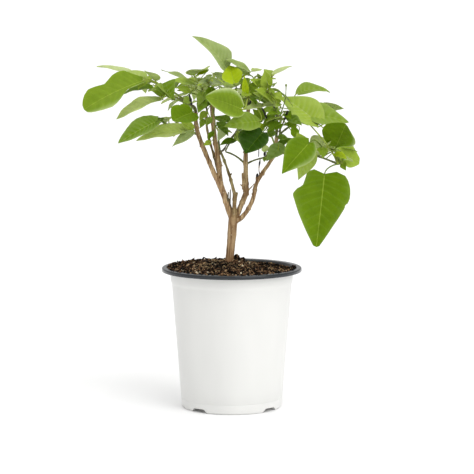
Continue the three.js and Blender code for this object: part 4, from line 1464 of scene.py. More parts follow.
class Crown:
    """Grows every mass by the same rule as the solids, and then its finer twigs."""

    TINT_SEED = 61
    PAIR_TINTS = {MID: 7, FRESH: 3, LIGHT: 7, DARK: 1, YELLOW: 2, GREY: 2}
    TWIG_TINTS = {FRESH: 3, LIGHT: 5, MID: 4, YELLOW: 3, DARK: 1}
    SETBACKS = [0.0015 * (i // 2 + i % 2) * (-1) ** i for i in range(17)]  # tried for small leaves

    def __init__(self) -> None:
        """Takes the limbs' room, then grows twigs, the leaves that stand out, pairs and side twigs."""
        lines = {name: limb.line() for name, limb in LIMBS.items()}
        self._crowd = Crowd()
        for name, line in lines.items():
            middle = sum(LIMBS[name].radii) / 2
            swell = FLARE[0] * math.exp(-0.5 * line.length / FLARE[1]) if name == "trunk" else 0
            self._crowd.add_line(line.points, middle + swell, "limbs")
        self.masses = [self._twigs(mass, lines[mass.bough]) for mass in MASSES]
        for grown in self.masses:
            for shoot, line in zip(grown.mass.shoots, grown.shoots):
                for leaf in shoot.leaves:
                    blade = Blade(leaf)
                    self._keep(grown, blade, blade.stalk_from(line.at(leaf.at)))
        self._tints = Chance(self.TINT_SEED)
        for grown in self.masses:
            self._pairs(grown)
        self._small_leaves()
        self.fine = SideTwigs()
        for number, grown in enumerate(self.masses):
            self._side_twigs(grown, Chance(self.fine.seed + number))
            seen = [(blade.seen(), stalk[0]) for blade, stalk in grown.leaves]
            grown.leaves = [(blade, blade.stalk_from(start)) for blade, start in seen]

    def _twigs(self, mass: Mass, bough: Line) -> Grown:
        """Grows a mass's stem and shoots.

        Args:
            mass: the mass.
            bough: the limb that carries it.

        Returns:
            The mass with its twigs and no leaves yet.
        """
        start = bough.at(mass.along)
        if mass.along == 1:
            start = start + bough.way(1) * GAP
        stem = Line.grown(start, mass.arcs)
        self._crowd.add_line(stem.points, mass.radius, mass.name)
        shoots = []
        for shoot in mass.shoots:
            shoots.append(Line.grown(stem.at(shoot.leaves_from), shoot.arcs))
            self._crowd.add_line(shoots[-1].points, shoot.radius, mass.name)
        return Grown(mass, stem, shoots)

    def _keep(self, grown: Grown, blade: Blade, stalk: Array) -> None:
        """Adds a leaf to its mass and takes its room.

        Args:
            grown: what has grown of the mass.
            blade: the leaf's blade.
            stalk: its stalk.
        """
        self._crowd.add(blade.samples(), 0, grown.mass.name)
        self._crowd.add_line(stalk, GROWTH.stalk_radius, grown.mass.name)
        grown.leaves.append((blade, stalk))

    @staticmethod
    def _pair_leaf(spot: Spot, chance: Chance) -> tuple[Blade, Array]:
        """Shapes a leaf of an opposite pair.

        Args:
            spot: where it grows.
            chance: where the variation comes from.

        Returns:
            The blade and its stalk.
        """
        start, way = spot.line.at(spot.share), spot.line.way(spot.share)
        level = unit(np.array([-way[1], way[0], 0.0]))
        angle = math.radians(spot.round_at)
        out = level * math.cos(angle) + np.cross(way, level) * math.sin(angle)
        spread = math.radians(GROWTH.spread)
        away = way * math.cos(spread) + out * math.sin(spread)
        away[2] += GROWTH.lift
        away = unit(away)
        size = spot.length * chance.within(GROWTH.length)
        base = tuple(start + away * size * GROWTH.stalk_share)
        bearing = math.degrees(math.atan2(away[1], away[0]))
        bearing += chance.within((-GROWTH.jitter, GROWTH.jitter))
        rise = chance.within(GROWTH.rise)
        faces = bearing + chance.within(GROWTH.roll)
        form = (chance.within(GROWTH.tilt), chance.within(GROWTH.droop), GROWTH.point)
        width = size * GROWTH.width_share
        blade = Blade(Leaf(spot.tint, spot.share, base, size, width, bearing, rise, faces, *form))
        return blade, blade.stalk_from(start)

    def _try_leaf(self, grown: Grown, spot: Spot, chance: Chance) -> bool:
        """Places a leaf if one of a few tries finds room.

        Args:
            grown: the mass.
            spot: where the leaf grows.
            chance: where its variation comes from.

        Returns:
            Whether it was placed.
        """
        for _ in range(GROWTH.tries):
            blade, stalk = self._pair_leaf(spot, chance)
            samples = blade.samples()
            if grown.mass.holds(samples) and self._crowd.free(samples, grown.mass.name):
                self._keep(grown, blade, stalk)
                return True
        return False

    def _pairs(self, grown: Grown) -> None:
        """Grows the opposite pairs on the shoots, youngest at the tips.

        Args:
            grown: the mass, which takes the leaves.
        """
        chance = Chance(grown.mass.seed)
        for shoot, line in zip(grown.mass.shoots, grown.shoots):
            for pair in range(shoot.pairs):
                age = pair / (shoot.pairs - 1) if shoot.pairs > 1 else 0
                share = shoot.first + (1 - shoot.first) * age
                length = shoot.leaf * (1 - age * (1 - GROWTH.youngest))
                for round_at in (shoot.turn + 90 * pair, shoot.turn + 90 * pair + 180):
                    tint = self._tints.pick(self.PAIR_TINTS)
                    self._try_leaf(grown, Spot(line, share, round_at, length, tint), chance)

    def _small_leaves(self) -> None:
        """Adds the small leaves that the solids leave out, each as far back as it finds room."""
        for small in SMALL_LEAVES:
            grown = next(each for each in self.masses if each.mass.name == small.mass)
            twigs = np.vstack([grown.stem.points, *[line.points for line in grown.shoots]])
            for back in self.SETBACKS:
                blade = small.blade(back)
                if self._crowd.free(blade.samples(), small.mass, 0.5):
                    nearest = twigs[np.argmin(np.linalg.norm(twigs - blade.base, axis=1))]
                    self._keep(grown, blade, blade.stalk_from(nearest))
                    break

    def _side_twigs(self, grown: Grown, chance: Chance) -> None:
        """Grows short twigs with small leaves wherever there is room left.

        Args:
            grown: the mass, which takes the twigs and their leaves.
            chance: where their variation comes from.
        """
        fine = self.fine
        for line in [grown.stem, *grown.shoots]:
            for number in range(1, 1 + int(line.length / fine.every)):
                share = min(1, number * fine.every / line.length)
                round_at = 360 * chance.draw()
                way = line.way(share)
                out = unit(np.cross(way, heading(round_at, 20)))
                spread = math.radians(fine.spread)
                away = way * math.cos(spread) + out * math.sin(spread)
                bearing = math.degrees(math.atan2(away[1], away[0]))
                arc = Arc(chance.within(fine.length), bearing, chance.within(fine.rise))
                twig = Line.grown(line.at(share), (arc,))
                beyond = twig.points[4:]
                if not len(beyond) or not grown.mass.holds(beyond):
                    continue
                if not self._crowd.free(beyond, grown.mass.name):
                    continue
                before = len(grown.leaves)
                length = chance.within(fine.leaf)
                for half in (0, 180):
                    tint = chance.pick(self.TWIG_TINTS)
                    self._try_leaf(grown, Spot(twig, 1, round_at + half, length, tint), chance)
                if len(grown.leaves) > before:
                    grown.side_twigs.append(twig)
                    self._crowd.add_line(twig.points, fine.radius, grown.mass.name)


# ---------- leaves ----------


@dataclass(frozen=True)
class Detail:
    """How finely a leaf is meshed."""

    veins: int
    between: int  # rows of points between two veins
    columns: int  # on each side of the midrib


@dataclass(frozen=True)
class LeafMesher:
    """Meshes blades as thin closed leaves whose rows of faces follow the curved veins."""

    limits: tuple[float, float, float] = (0.021, 0.034, 0.05)  # lengths from which a leaf is finer
    details: tuple[Detail, ...] = (Detail(3, 1, 3), Detail(5, 1, 4), Detail(7, 2, 6), Detail(9, 3, 8))
    first_vein: float = 0.09
    last_vein: float = 0.88
    vein_half: float = 0.0016  # a share of the length
    midrib: Pair = (0.0085, 0.003)  # half-widths at base and tip, shares of the length
    sweep: float = 1.6  # the power that crowds the veins' roots towards the base
    arch: float = 1.25
    quilt: float = 0.006
    wave: float = 0.014
    keel: float = 0.0003
    first_rows: tuple[Pair, ...] = ((0.012, 0.3), (0.045, 0.5))  # as from _rows
    last_rows: tuple[Pair, ...] = ((0.94, 0.5), (0.982, 0.2))
    crowding: float = 0.9  # below 1, columns crowd towards the margin
    rib_most: float = 0.8  # of a narrow blade's half-width
    margin_power: int = 5  # how narrow the painted sheen at the margin is
    vein_shades: Pair = (0.03, 0.12)  # how much paler the veins are, and how much deeper the rest, which is painted shade of the quilting
    own_shade: Pair = (-0.13, 0.13)
    turns: Pair = (1.2, 2.4)  # of the wavy margin, along a leaf
    wave_power: float = 2.5
    own_curl: Pair = (-0.03, 0.012)

    def add(self, parts: Parts, blade: Blade, chance: Chance) -> None:
        """Adds a blade to the parts.

        Args:
            parts: what gathers the meshes.
            blade: the blade.
            chance: where the waviness of its margin comes from.
        """
        leaf = blade.leaf
        detail = self.details[sum(leaf.length > limit for limit in self.limits)]
        share, phase = self._rows(detail)
        side = self._columns(detail)
        forward, out = self._flat(blade, share, side)
        lift = self._lift(blade, share, phase, side, chance)
        upper = blade.bent(forward.ravel(), out.ravel(), lift.ravel())
        under_lift = lift - FORM.thickness
        under_lift[:, len(side) // 2] -= self.keel
        lower = blade.bent(forward.ravel(), out.ravel(), under_lift.ravel())
        ends = blade.bent(np.array([0, leaf.length]), np.zeros(2), np.zeros(2))
        points = np.vstack([upper, lower, ends])
        faces, slots = self._faces(len(share), len(side), leaf.tint)
        shades = np.full(len(points), 0.5)
        shades[: len(upper)] = self._shades(leaf.trait, phase, side, chance).ravel()
        parts.add(points, faces, slots, shades)

    def _rows(self, detail: Detail) -> tuple[Array, Array]:
        """Lays the rows along the curved veins and between them.

        Args:
            detail: how many there are.

        Returns:
            Where each meets the margin, a share of the length, and its phase: from 0 on a vein to 1
            half-way to the next.
        """
        rows = list(self.first_rows)
        veins = np.linspace(self.first_vein, self.last_vein, detail.veins)
        for number, vein in enumerate(veins):
            rows += [(vein - self.vein_half, 0), (vein + self.vein_half, 0)]
            if number + 1 < detail.veins:
                for i in range(1, detail.between + 1):
                    part = i / (detail.between + 1)
                    rows.append((vein + (veins[number + 1] - vein) * part, math.sin(math.pi * part)))
        share, phase = np.array([*rows, *self.last_rows]).T
        return share, phase

    def _columns(self, detail: Detail) -> Array:
        """Places across the blade, from -1 to 1, with the midrib in the middle."""
        half = np.linspace(0, 1, detail.columns + 1)[1:] ** self.crowding
        return np.concatenate([-half[::-1], [0], half])

    def _flat(self, blade: Blade, share: Array, side: Array) -> tuple[Array, Array]:
        """Lays the points out on the flattened blade.

        Args:
            blade: the blade.
            share: the rows' places along it.
            side: the columns' places across it.

        Returns:
            How far forward and how far sideways each point is, by row and column.
        """
        length, trait = blade.leaf.length, blade.leaf.trait
        middle = len(side) // 2
        out = self._halves(blade, share, side) * side
        strip = length * np.interp(share, [0, 1], self.midrib)
        for step in (-1, 1):
            out[:, middle + step] = step * np.minimum(strip, np.abs(out[:, middle + step]) * self.rib_most)
        margin = share * length - blade.set_back(share) * trait.lobe / FORM.lobe
        root = length * share**self.sweep
        forward = root[:, None] + (margin - root)[:, None] * np.abs(side) ** self.arch
        forward[:, [middle - 1, middle + 1]] = root[:, None]
        return forward, out

    @staticmethod
    def _halves(blade: Blade, share: Array, side: Array) -> Array:
        """Finds the half-widths, by the trait's outline or by the rule.

        Args:
            blade: the blade.
            share: the rows' places along it.
            side: the columns' places across it.

        Returns:
            The half-width at every point's row and side.
        """
        trait, most = blade.leaf.trait, blade.leaf.width / 2
        if trait.outline:
            at, *halves = np.array(trait.outline).T / 100
            left, right = (np.interp(share, at, half) * most for half in halves)
        else:
            plain = blade.half_width(share)
            end = (plain / most) ** (-trait.blunt * share**4) * (1 - trait.taper * share**2)
            left = right = plain * end
        return np.where(side < 0, left[:, None], right[:, None])

    def _shades(self, trait: Trait, phase: Array, side: Array, chance: Chance) -> Array:
        """Shades the upper side: a painted sheen at the margin, and paler veins with painted shade of the
        quilting between them.

        Args:
            trait: the leaf's own.
            phase: the rows' phases.
            side: the columns' places across.
            chance: where a plain leaf's own shade comes from.

        Returns:
            The shade of every point.
        """
        away = np.abs(side)
        # a painted sheen along the margins
        margin = np.where(side < 0, *trait.pale) * away**self.margin_power
        # paler veins, and painted shade between them where the blade is quilted
        veins = (self.vein_shades[0] - self.vein_shades[1] * phase)[:, None] * (1 - away)
        own = chance.within(self.own_shade) if trait is PLAIN else 0
        return 0.5 + trait.shade + own + margin + veins

    def _lift(self, blade: Blade, share: Array, phase: Array, side: Array, chance: Chance) -> Array:
        """Quilts the blade between its veins, and waves and curls its margin.

        Args:
            blade: the blade.
            share: the rows' places along it.
            phase: their phases.
            side: the columns' places across it.
            chance: where the wave and a little curl come from.

        Returns:
            How far every point stands above the plain fold.
        """
        length = blade.leaf.length
        away = np.abs(side)
        quilt = self.quilt * length * np.outer(phase - 0.5, np.sqrt(4 * away * (1 - away)))
        turns = chance.within(self.turns)
        left, right = 2 * math.pi * chance.draw(), 2 * math.pi * chance.draw()
        start = np.where(side < 0, left, right)
        ripple = np.sin(2 * math.pi * turns * share[:, None] + start) * away**self.wave_power
        curl = np.where(side < 0, *blade.leaf.trait.curl) + chance.within(self.own_curl)
        curl = curl * away**2 * np.sin(math.pi * share)[:, None]
        return quilt + self.wave * length * ripple + curl * length

    @staticmethod
    def _faces(rows: int, columns: int, tint: Tint) -> tuple[Faces, list[int]]:
        """Joins the points of both sides, which share the margin.

        Args:
            rows: how many there are.
            columns: how many there are.
            tint: the colour of the upper side.

        Returns:
            The faces, and the material slot of each.
        """
        top = list(Tint).index(tint)
        vein = list(Tint).index(MIDRIBS.get(tint, tint))
        under = len(LEAF_FINISHES)
        base, tip, middle = 2 * rows * columns, 2 * rows * columns + 1, columns // 2

        def lower(row: int, column: int) -> int:
            """A point of the underside, which meets the upper side at the margin."""
            edge = column in (0, columns - 1)
            return row * columns + column + (0 if edge else rows * columns)

        faces: Faces = []
        slots: list[int] = []
        for column in range(columns - 1):
            rib = vein if column in (middle - 1, middle) else top
            last = (rows - 1) * columns + column
            faces += [(base, column + 1, column), (tip, last, last + 1)]
            faces += [(base, lower(0, column), lower(0, column + 1))]
            faces += [(tip, lower(rows - 1, column + 1), lower(rows - 1, column))]
            slots += [rib, rib, under, under]
            for row in range(rows - 1):
                first = row * columns + column
                faces.append((first, first + 1, first + columns + 1, first + columns))
                near, far = (row, column), (row + 1, column + 1)
                faces.append((lower(*near), lower(far[0], near[1]), lower(*far), lower(near[0], far[1])))
                slots += [rib, under]
        return faces, slots


@dataclass
class Foliage:
    """All leaves, stalks and green twigs of the crown."""

    crown: Crown
    groups: dict[str, tuple[str, ...]] = field(default_factory=lambda: {
        "leaves_left": ("left", "left_low", "left_top"),
        "leaves_middle": ("inner", "thin_middle", "twig_left", "twig_right", "top"),
        "leaves_right": ("right", "right_back", "right_hanging"),
    })
    stalk_radii: Pair = (0.00045, 0.0009)
    stalk_full: float = 0.05  # the length of blade from which a stalk is thickest
    stalk_foot: Pair = (0.5, 9)  # how much wider the foot is, and how fast that ends
    stalk_taper: float = 0.25
    stalk_rings: int = 12
    sides: int = 8  # of a stalk or twig
    ring_gap: float = 0.002  # along a twig
    taper: float = 0.3
    node_gap: float = 0.016
    node_span: float = 0.0016
    node_swell: float = 0.5
    bud_radius: float = 0.0007
    bud_length: float = 3.4  # times its radius
    bud: tuple[Pair, ...] = ((0, 0.7), (0.25, 1), (0.55, 0.85), (0.8, 0.5), (0.96, 0.16))  # its profile
    sag: dict[str, float] = field(default_factory=lambda: {"twig_right": 0.0035})  # of a stem
    seed: int = 5

    def build(self) -> None:
        """Makes the leaf pieces, the stalks and the twigs."""
        mesher = LeafMesher()
        for name, members in self.groups.items():
            parts = Parts()
            chosen = [grown for grown in self.crown.masses if grown.mass.name in members]
            for blade in [blade for grown in chosen for blade, _ in grown.leaves]:
                mesher.add(parts, blade, Chance(self.seed + whole(blade.base[0] * 1e6)))
            attach(parts.build(name, LEAF_SLOTS), [grown.mass.node for grown in chosen])
        self._stalks()
        self._twigs()

    def _stalks(self) -> None:
        """The leaf stalks, thicker under larger blades."""
        parts = Parts()
        for grown in self.crown.masses:
            for blade, stalk in grown.leaves:
                low, high = self.stalk_radii
                radius = min(high, low + (high - low) * blade.leaf.length / self.stalk_full)
                line = stalk[np.unique(np.linspace(0, len(stalk) - 1, self.stalk_rings).astype(int))]
                share = np.linspace(0, 1, len(line))
                foot = self.stalk_foot[0] * np.exp(-share * self.stalk_foot[1])
                radii = radius * (1 + foot - self.stalk_taper * share)
                parts.add(*tube(line, radii, self.sides), int(blade.leaf.tint in DARK_TINTS))
        finishes = (
            soft("stalk_light", (150, 166, 66), 0.14),
            soft("stalk_deep", (104, 124, 42), 0.14),
        )
        attach(parts.build("leaf_stalks", finishes, 60))

    def _twigs(self) -> None:
        """The stems, shoots and side twigs, with their swollen nodes and buds."""
        parts = Parts()
        for grown in self.crown.masses:
            down = np.sin(math.pi * np.linspace(0, 1, len(grown.stem.points)))
            fall = np.outer(down * self.sag.get(grown.mass.name, 0), (0, 0, -1))
            self._twig(parts, Line(grown.stem.points + fall), grown.mass.radius, 0)
            for shoot, line in zip(grown.mass.shoots, grown.shoots):
                self._twig(parts, line, shoot.radius, 1)
                self._bud(parts, line.at(1), line.way(1), shoot.radius * 1.1, 2)
            for line in grown.side_twigs:
                self._twig(parts, line, self.crown.fine.radius, 1)
                self._bud(parts, line.at(1), line.way(1), self.bud_radius, 1)
            for blade, stalk in grown.leaves:
                away = unit(stalk[min(3, len(stalk) - 1)] - stalk[0])
                way = unit(away + np.array([0, 0, 0.8]))
                self._bud(parts, stalk[0] + away * STEP, way, self.bud_radius, 2)
        finishes = (
            Finish("twig_olive", (88, 94, 42), roughness=0.6, variation=0.3, blotches=220, relief=0.0001),
            soft("twig_green", (122, 138, 52), 0.2),
            soft("bud", (116, 120, 50), 0.25),
        )
        attach(parts.build("twigs", finishes, 60))

    def _twig(self, parts: Parts, line: Line, radius: float, slot: int) -> None:
        """Adds a twig that tapers and swells a little at its nodes.

        Args:
            parts: what gathers the meshes.
            line: the twig's line.
            radius: its radius at the foot.
            slot: its material slot.
        """
        count = max(5, whole(line.length / self.ring_gap))
        share = np.linspace(0, 1, count)
        offset = (share * line.length) % self.node_gap - self.node_gap / 2
        swell = self.node_swell * np.exp(-(offset / self.node_span) ** 2)
        radii = radius * (1 - self.taper * share) * (1 + swell * 0.5)
        parts.add(*tube(line.sampled(count), radii, self.sides), slot)

    def _bud(self, parts: Parts, start: Array, way: Array, radius: float, slot: int) -> None:
        """Adds a small pointed bud.

        Args:
            parts: what gathers the meshes.
            start: its foot.
            way: where it points.
            radius: its largest radius.
            slot: its material slot.
        """
        share, width = np.array(self.bud).T
        line = start + np.outer(share, way) * radius * self.bud_length
        parts.add(*tube(line, radius * width, 6), slot)


# ---------- trunk and boughs ----------


@dataclass(frozen=True)
class Stub:
    """A knot, bump, or short broken twig: where it starts on a limb's middle line, and its arcs."""

    limb: str
    share: float
    radius: float
    arcs: tuple[Arc, ...]


@dataclass
class Bark:
    """The trunk and boughs, grown together at the forks and covered with bark in relief."""

    voxel: float = 0.0005
    node_every: float = 0.0235
    node_height: float = 0.0006
    node_span: float = 0.0014
    streak: float = 0.00022
    lump: float = 0.0005
    sunk: float = 0.004  # how far a bough's foot and the trunk's foot go in
    streak_scale: Point = (900, 900, 90)  # a metre, as is the next
    lump_scale: Point = (140, 140, 110)
    stained_ends: tuple[str, ...] = ("bough_left_outer", "bough_left_inner")
    stain_reach: float = 0.012
    foot_stain: float = 0.022  # the height over which the trunk's stain fades
    stub_stain: float = 0.85
    stub_reach: float = 0.0035  # of the stain, beyond the stub
    first_node: float = 0.011  # how far from a node a limb starts
    age_step: float = 0.004
    age_blend: float = 0.0005
    stubs: tuple[Stub, ...] = (
        Stub("trunk", 0.98, 0.0051, (Arc(0.004, 190, 30),)),
        Stub("trunk", 0.9, 0.0042, (Arc(0.0042, 330, 20),)),
        Stub("bough_left", 0.97, 0.0028, (Arc(0.0042, 180, 20),)),
        Stub("bough_left", 0.7, 0.0018, (Arc(0.0044, 220, 10),)),
        Stub("bough_left_outer", 0.5, 0.001, (Arc(0.0052, 200, 20),)),
        Stub("bough_left_outer", 0.36, 0.0011, (Arc(0.0046, 200, 30),)),
        Stub("bough_left_outer", 0.78, 0.0014, (Arc(0.0036, 330, 20),)),
        Stub("bough_left_inner", 0.22, 0.0014, (Arc(0.0046, 20, 10),)),
        Stub("bough_left_inner", 0.36, 0.0015, (Arc(0.0048, 10, 30),)),
        Stub("bough_left_inner", 0.48, 0.0013, (Arc(0.0044, 350, 30),)),
        Stub("bough_left_inner", 0.6, 0.0012, (Arc(0.0042, 170, 30),)),
        Stub("bough_middle_thin", 0.22, 0.0021, (Arc(0.0135, 10, 78),)),
        Stub("bough_middle_thin", 0.3, 0.001, (Arc(0.0075, 350, 56),)),
        Stub("bough_middle_thin", 0.62, 0.0009, (Arc(0.004, 20, 40),)),
        Stub("bough_middle", 0.255, 0.0028, (Arc(0.0034, 10, 10),)),
        Stub("bough_middle", 0.27, 0.0021, (Arc(0.0044, 190, 30),)),
        Stub("bough_middle", 0.262, 0.0006, (Arc(0.0145, 8, 48),)),
        Stub("bough_middle", 0.27, 0.0007, (Arc(0.0125, 190, 52),)),
        Stub("bough_middle", 0.29, 0.0011, (Arc(0.0046, 190, 12), Arc(0.019, 190, (92, 86)))),
        Stub("bough_middle", 0.6, 0.0013, (Arc(0.0042, 150, 20),)),
        Stub("bough_right", 0.53, 0.0026, (Arc(0.0035, 185, 10),)),
        Stub("bough_right", 0.57, 0.0013, (Arc(0.0044, 0, 10),)),
        Stub("bough_right", 0.56, 0.0007, (Arc(0.0185, (150, 20), (60, 88)),)),
        Stub("bough_right", 0.36, 0.001, (Arc(0.0036, 180, 10),)),
    )

    def build(self) -> None:
        """Makes the bark piece."""
        lines = {name: limb.bowed() for name, limb in LIMBS.items()}
        limbs = [self._limb(name, lines[name]) for name in LIMBS]
        limbs += [self._stub(stub, lines[stub.limb]) for stub in self.stubs]
        deselect()
        for limb in limbs:
            limb.select_set(True)
        bpy.context.view_layer.objects.active = limbs[0]
        bpy.ops.object.convert(target="MESH")
        bpy.ops.object.join()
        piece = bpy.context.object
        piece.name = "bark"
        apply_modifier(piece, "REMESH", mode="VOXEL", voxel_size=self.voxel, adaptivity=0.0)
        apply_modifier(piece, "SMOOTH", factor=0.6, iterations=5)
        self._relief(piece)
        self._age(piece, lines)
        dress(piece, (BarkFinish(),))
        smooth(piece, 180)
        attach(piece, LIMBS)

    def _limb(self, name: str, line: Line) -> Piece:
        """Makes a limb, which tapers, with its nodes or, on the trunk, its flare.

        Args:
            name: the limb's name.
            line: its middle line.

        Returns:
            A round curve.
        """
        limb = LIMBS[name]
        points = np.vstack([line.points[0] - line.way(0) * self.sunk, line.points])
        place = np.concatenate([[0], np.arange(len(line.points)) * STEP])
        share = place / line.length
        radii = limb.radii[0] + share * (limb.radii[1] - limb.radii[0])
        if name == "trunk":
            radii = radii + FLARE[0] * np.exp(-place / FLARE[1])
            points[0] = line.points[0]
        else:
            offset = (place + self.first_node) % self.node_every - self.node_every / 2
            radii = radii + self.node_height * np.exp(-((offset / self.node_span) ** 2))
        return self._curve(name + "_core", points, radii)

    def _stub(self, stub: Stub, line: Line) -> Piece:
        """Makes a stub, which tapers and starts inside its limb.

        Args:
            stub: what it is like.
            line: the limb's middle line.

        Returns:
            A round curve.
        """
        grown = Line.grown(line.at(stub.share), stub.arcs)
        share = np.linspace(0, 1, len(grown.points))
        return self._curve("stub", grown.points, stub.radius * (1.2 - 0.4 * share))

    @staticmethod
    def _curve(name: str, points: Array, radii: Array) -> Piece:
        """Makes a solid round curve.

        Args:
            name: the object's name.
            points: the points that it goes through.
            radii: its radius at each.

        Returns:
            The object.
        """
        curve = bpy.data.curves.new(name, "CURVE")
        curve.dimensions = "3D"
        curve.bevel_depth = STEP
        curve.bevel_resolution = 3
        curve.use_fill_caps = True
        spline = curve.splines.new("POLY")
        spline.points.add(len(points) - 1)
        for knot, point, radius in zip(spline.points, points, radii):
            knot.co = (*point, 1)
            knot.radius = radius / STEP
        piece = bpy.data.objects.new(name, curve)
        bpy.context.scene.collection.objects.link(piece)
        return piece

    def _relief(self, piece: Piece) -> None:
        """Moves the surface in and out by long streaks and soft lumps, which end at the foot.

        Args:
            piece: the bark.
        """
        foot = LIMBS["trunk"].start[2]
        points = places(piece)
        normals = np.empty(points.size, np.float32)
        piece.data.vertices.foreach_get("normal", normals)
        fade = np.clip((points[:, 2] - foot) / self.sunk, 0, 1)
        wide, tall = self.streak_scale[0], self.streak_scale[2]
        streaks = [noise.noise((x * wide, y * wide, z * tall)) for x, y, z in points]
        wide, tall = self.lump_scale[0], self.lump_scale[2]
        lumps = [noise.noise((x * wide, y * wide, z * tall)) for x, y, z in points]
        height = fade * (self.streak * np.array(streaks) + self.lump * np.array(lumps))
        points += normals.reshape(-1, 3) * height[:, None]
        piece.data.vertices.foreach_set("co", points.ravel())
        piece.data.update()

    def _age(self, piece: Piece, lines: dict[str, Line]) -> None:
        """Stores how old the bark is at each point, as on the nearest limb, and how stained.

        Args:
            piece: the bark.
            lines: the limbs' middle lines by name.
        """
        surface = places(piece)
        total = np.zeros(len(surface))
        weight = np.zeros(len(surface))
        for name, line in lines.items():
            apart = np.full(len(surface), 1.0)
            age = np.zeros(len(surface))
            for share in np.linspace(0, 1, max(2, whole(line.length / self.age_step))):
                away = np.linalg.norm(surface - line.at(share), axis=1)
                age = np.where(away < apart, turned(LIMBS[name].age, share), age)
                apart = np.minimum(apart, away)
            near = 1 / (apart + self.age_blend) ** 6
            total += near * age
            weight += near
        stain = np.exp(-np.maximum(0, surface[:, 2] - LIMBS["trunk"].start[2]) / self.foot_stain)
        for name in self.stained_ends:
            apart = np.linalg.norm(surface - lines[name].at(1), axis=1)
            stain = np.maximum(stain, np.exp(-((apart / self.stain_reach) ** 2)))
        for stub in self.stubs:
            apart = np.linalg.norm(surface - lines[stub.limb].at(stub.share), axis=1)
            near = np.exp(-((apart / (self.stub_reach + stub.radius)) ** 2))
            stain = np.maximum(stain, self.stub_stain * near)
        store(piece, "age", total / weight)
        store(piece, "stain", stain)


@dataclass(frozen=True)
class Stick:
    """A thin dead or bare shoot: its slot, and its points and its radius at each in millimetres."""

    slot: int
    points: tuple[Point, ...]
    radii: tuple[float, ...]


@dataclass
class DeadWood:
    """Blackened shoot ends, withered twigs, and a stalk that has lost its leaf."""

    sticks: tuple[Stick, ...] = (
        Stick(1, ((-4.8, -3, 243), (-4.4, -4, 249), (-3.8, -5, 255)), (1, 0.8, 0.6)),
        Stick(1, ((-2.2, -3, 239), (-1.8, -4, 249), (-1.6, -5, 258)), (1, 0.8, 0.6)),
        Stick(1, ((-42.5, -5, 350), (-45, -12, 354), (-46.6, -20, 359)), (1.2, 1, 0.9)),
        Stick(0, ((-46.6, -20, 358.5), (-47.4, -26, 364), (-48.6, -32, 370)), (1.2, 1.4, 0.9)),
        Stick(0, ((19.8, 3, 354), (21.5, -1, 358.5), (22.2, -3, 362)), (1.4, 1.6, 0.9)),
        Stick(0, ((41.4, -20, 340.5), (38.5, -31, 348.5), (35.2, -38, 355.4)), (1, 1.1, 0.8)),
        Stick(0, ((61.8, -16, 341.5), (63.2, -25, 347), (65, -32, 351.8)), (1.3, 1.4, 0.9)),
        Stick(1, ((47, -12, 323), (45, -16, 332), (41.2, -20, 341)), (0.9, 0.8, 0.8)),
        Stick(1, ((55, -8, 326), (59, -13, 334), (62, -16, 342.2)), (1, 0.9, 1)),
        Stick(2, ((56, -8, 345), (61, -10, 356), (62.8, -11, 367)), (0.8, 0.7, 0.6)),
        Stick(2, ((62.8, -11, 366.5), (63.2, -11, 374.5), (63.3, -11, 379.5)), (0.6, 0.5, 0.7)),
        Stick(2, ((63.3, -11, 379), (63.3, -11, 380.3), (63.3, -11, 381.5)), (0.8, 1.4, 1.2)),
        Stick(1, ((-12.8, -10, 303), (-8.8, -11.5, 304.5), (-6.6, -12.5, 310)), (0.9, 1.4, 0.8)),
        Stick(1, ((-7, -12.5, 309), (-1, -15, 321), (6.2, -17, 327.8)), (0.7, 0.6, 0.5)),
        Stick(0, ((31.5, -12, 297), (31.7, -12.5, 302.5), (31.6, -13, 307.5)), (0.5, 0.6, 0.4)),
        Stick(0, ((32.2, -5.5, 286.2), (32.7, -5.6, 289.5), (33.3, -5.8, 293.5)), (0.7, 1.1, 0.4)),
        Stick(0, ((38.1, -23.5, 299.5), (38.3, -24, 302), (38.6, -24.5, 304.8)), (1.2, 1.6, 0.8)),
        Stick(0, ((29.5, -6.2, 273.5), (29.8, -6.8, 275.2), (30.2, -7, 277)), (1.2, 1.5, 0.9)),
    )
    sides: int = 8
    rings: int = 13
    wobble: float = 0.16

    def build(self) -> None:
        """Makes them as one piece."""
        parts = Parts()
        for stick in self.sticks:
            knots = np.array(stick.points) / 1000
            share = np.linspace(0, 1, self.rings)
            first = (1 - share[:, None]) ** 2 * knots[0] + share[:, None] ** 2 * knots[2]
            line = first + 2 * (1 - share[:, None]) * share[:, None] * knots[1]
            radii = np.interp(share, (0, 0.5, 1), stick.radii) / 1000
            uneven = [noise.noise((z * 900, stick.radii[0] * 10, 0)) for z in line[:, 2]]
            radii = radii * (1 + self.wobble * np.array(uneven))
            parts.add(*tube(line, radii, self.sides), stick.slot)
        finishes = (
            Finish("dead_black", (26, 24, 22), roughness=0.7, variation=0.3, blotches=400),
            Finish("dead_brown", (84, 76, 50), roughness=0.65, variation=0.2, blotches=300),
            soft("bare_stalk", (138, 152, 96)),
        )
        attach(parts.build("dead_twigs", finishes, 60))


# ---------- pot ----------


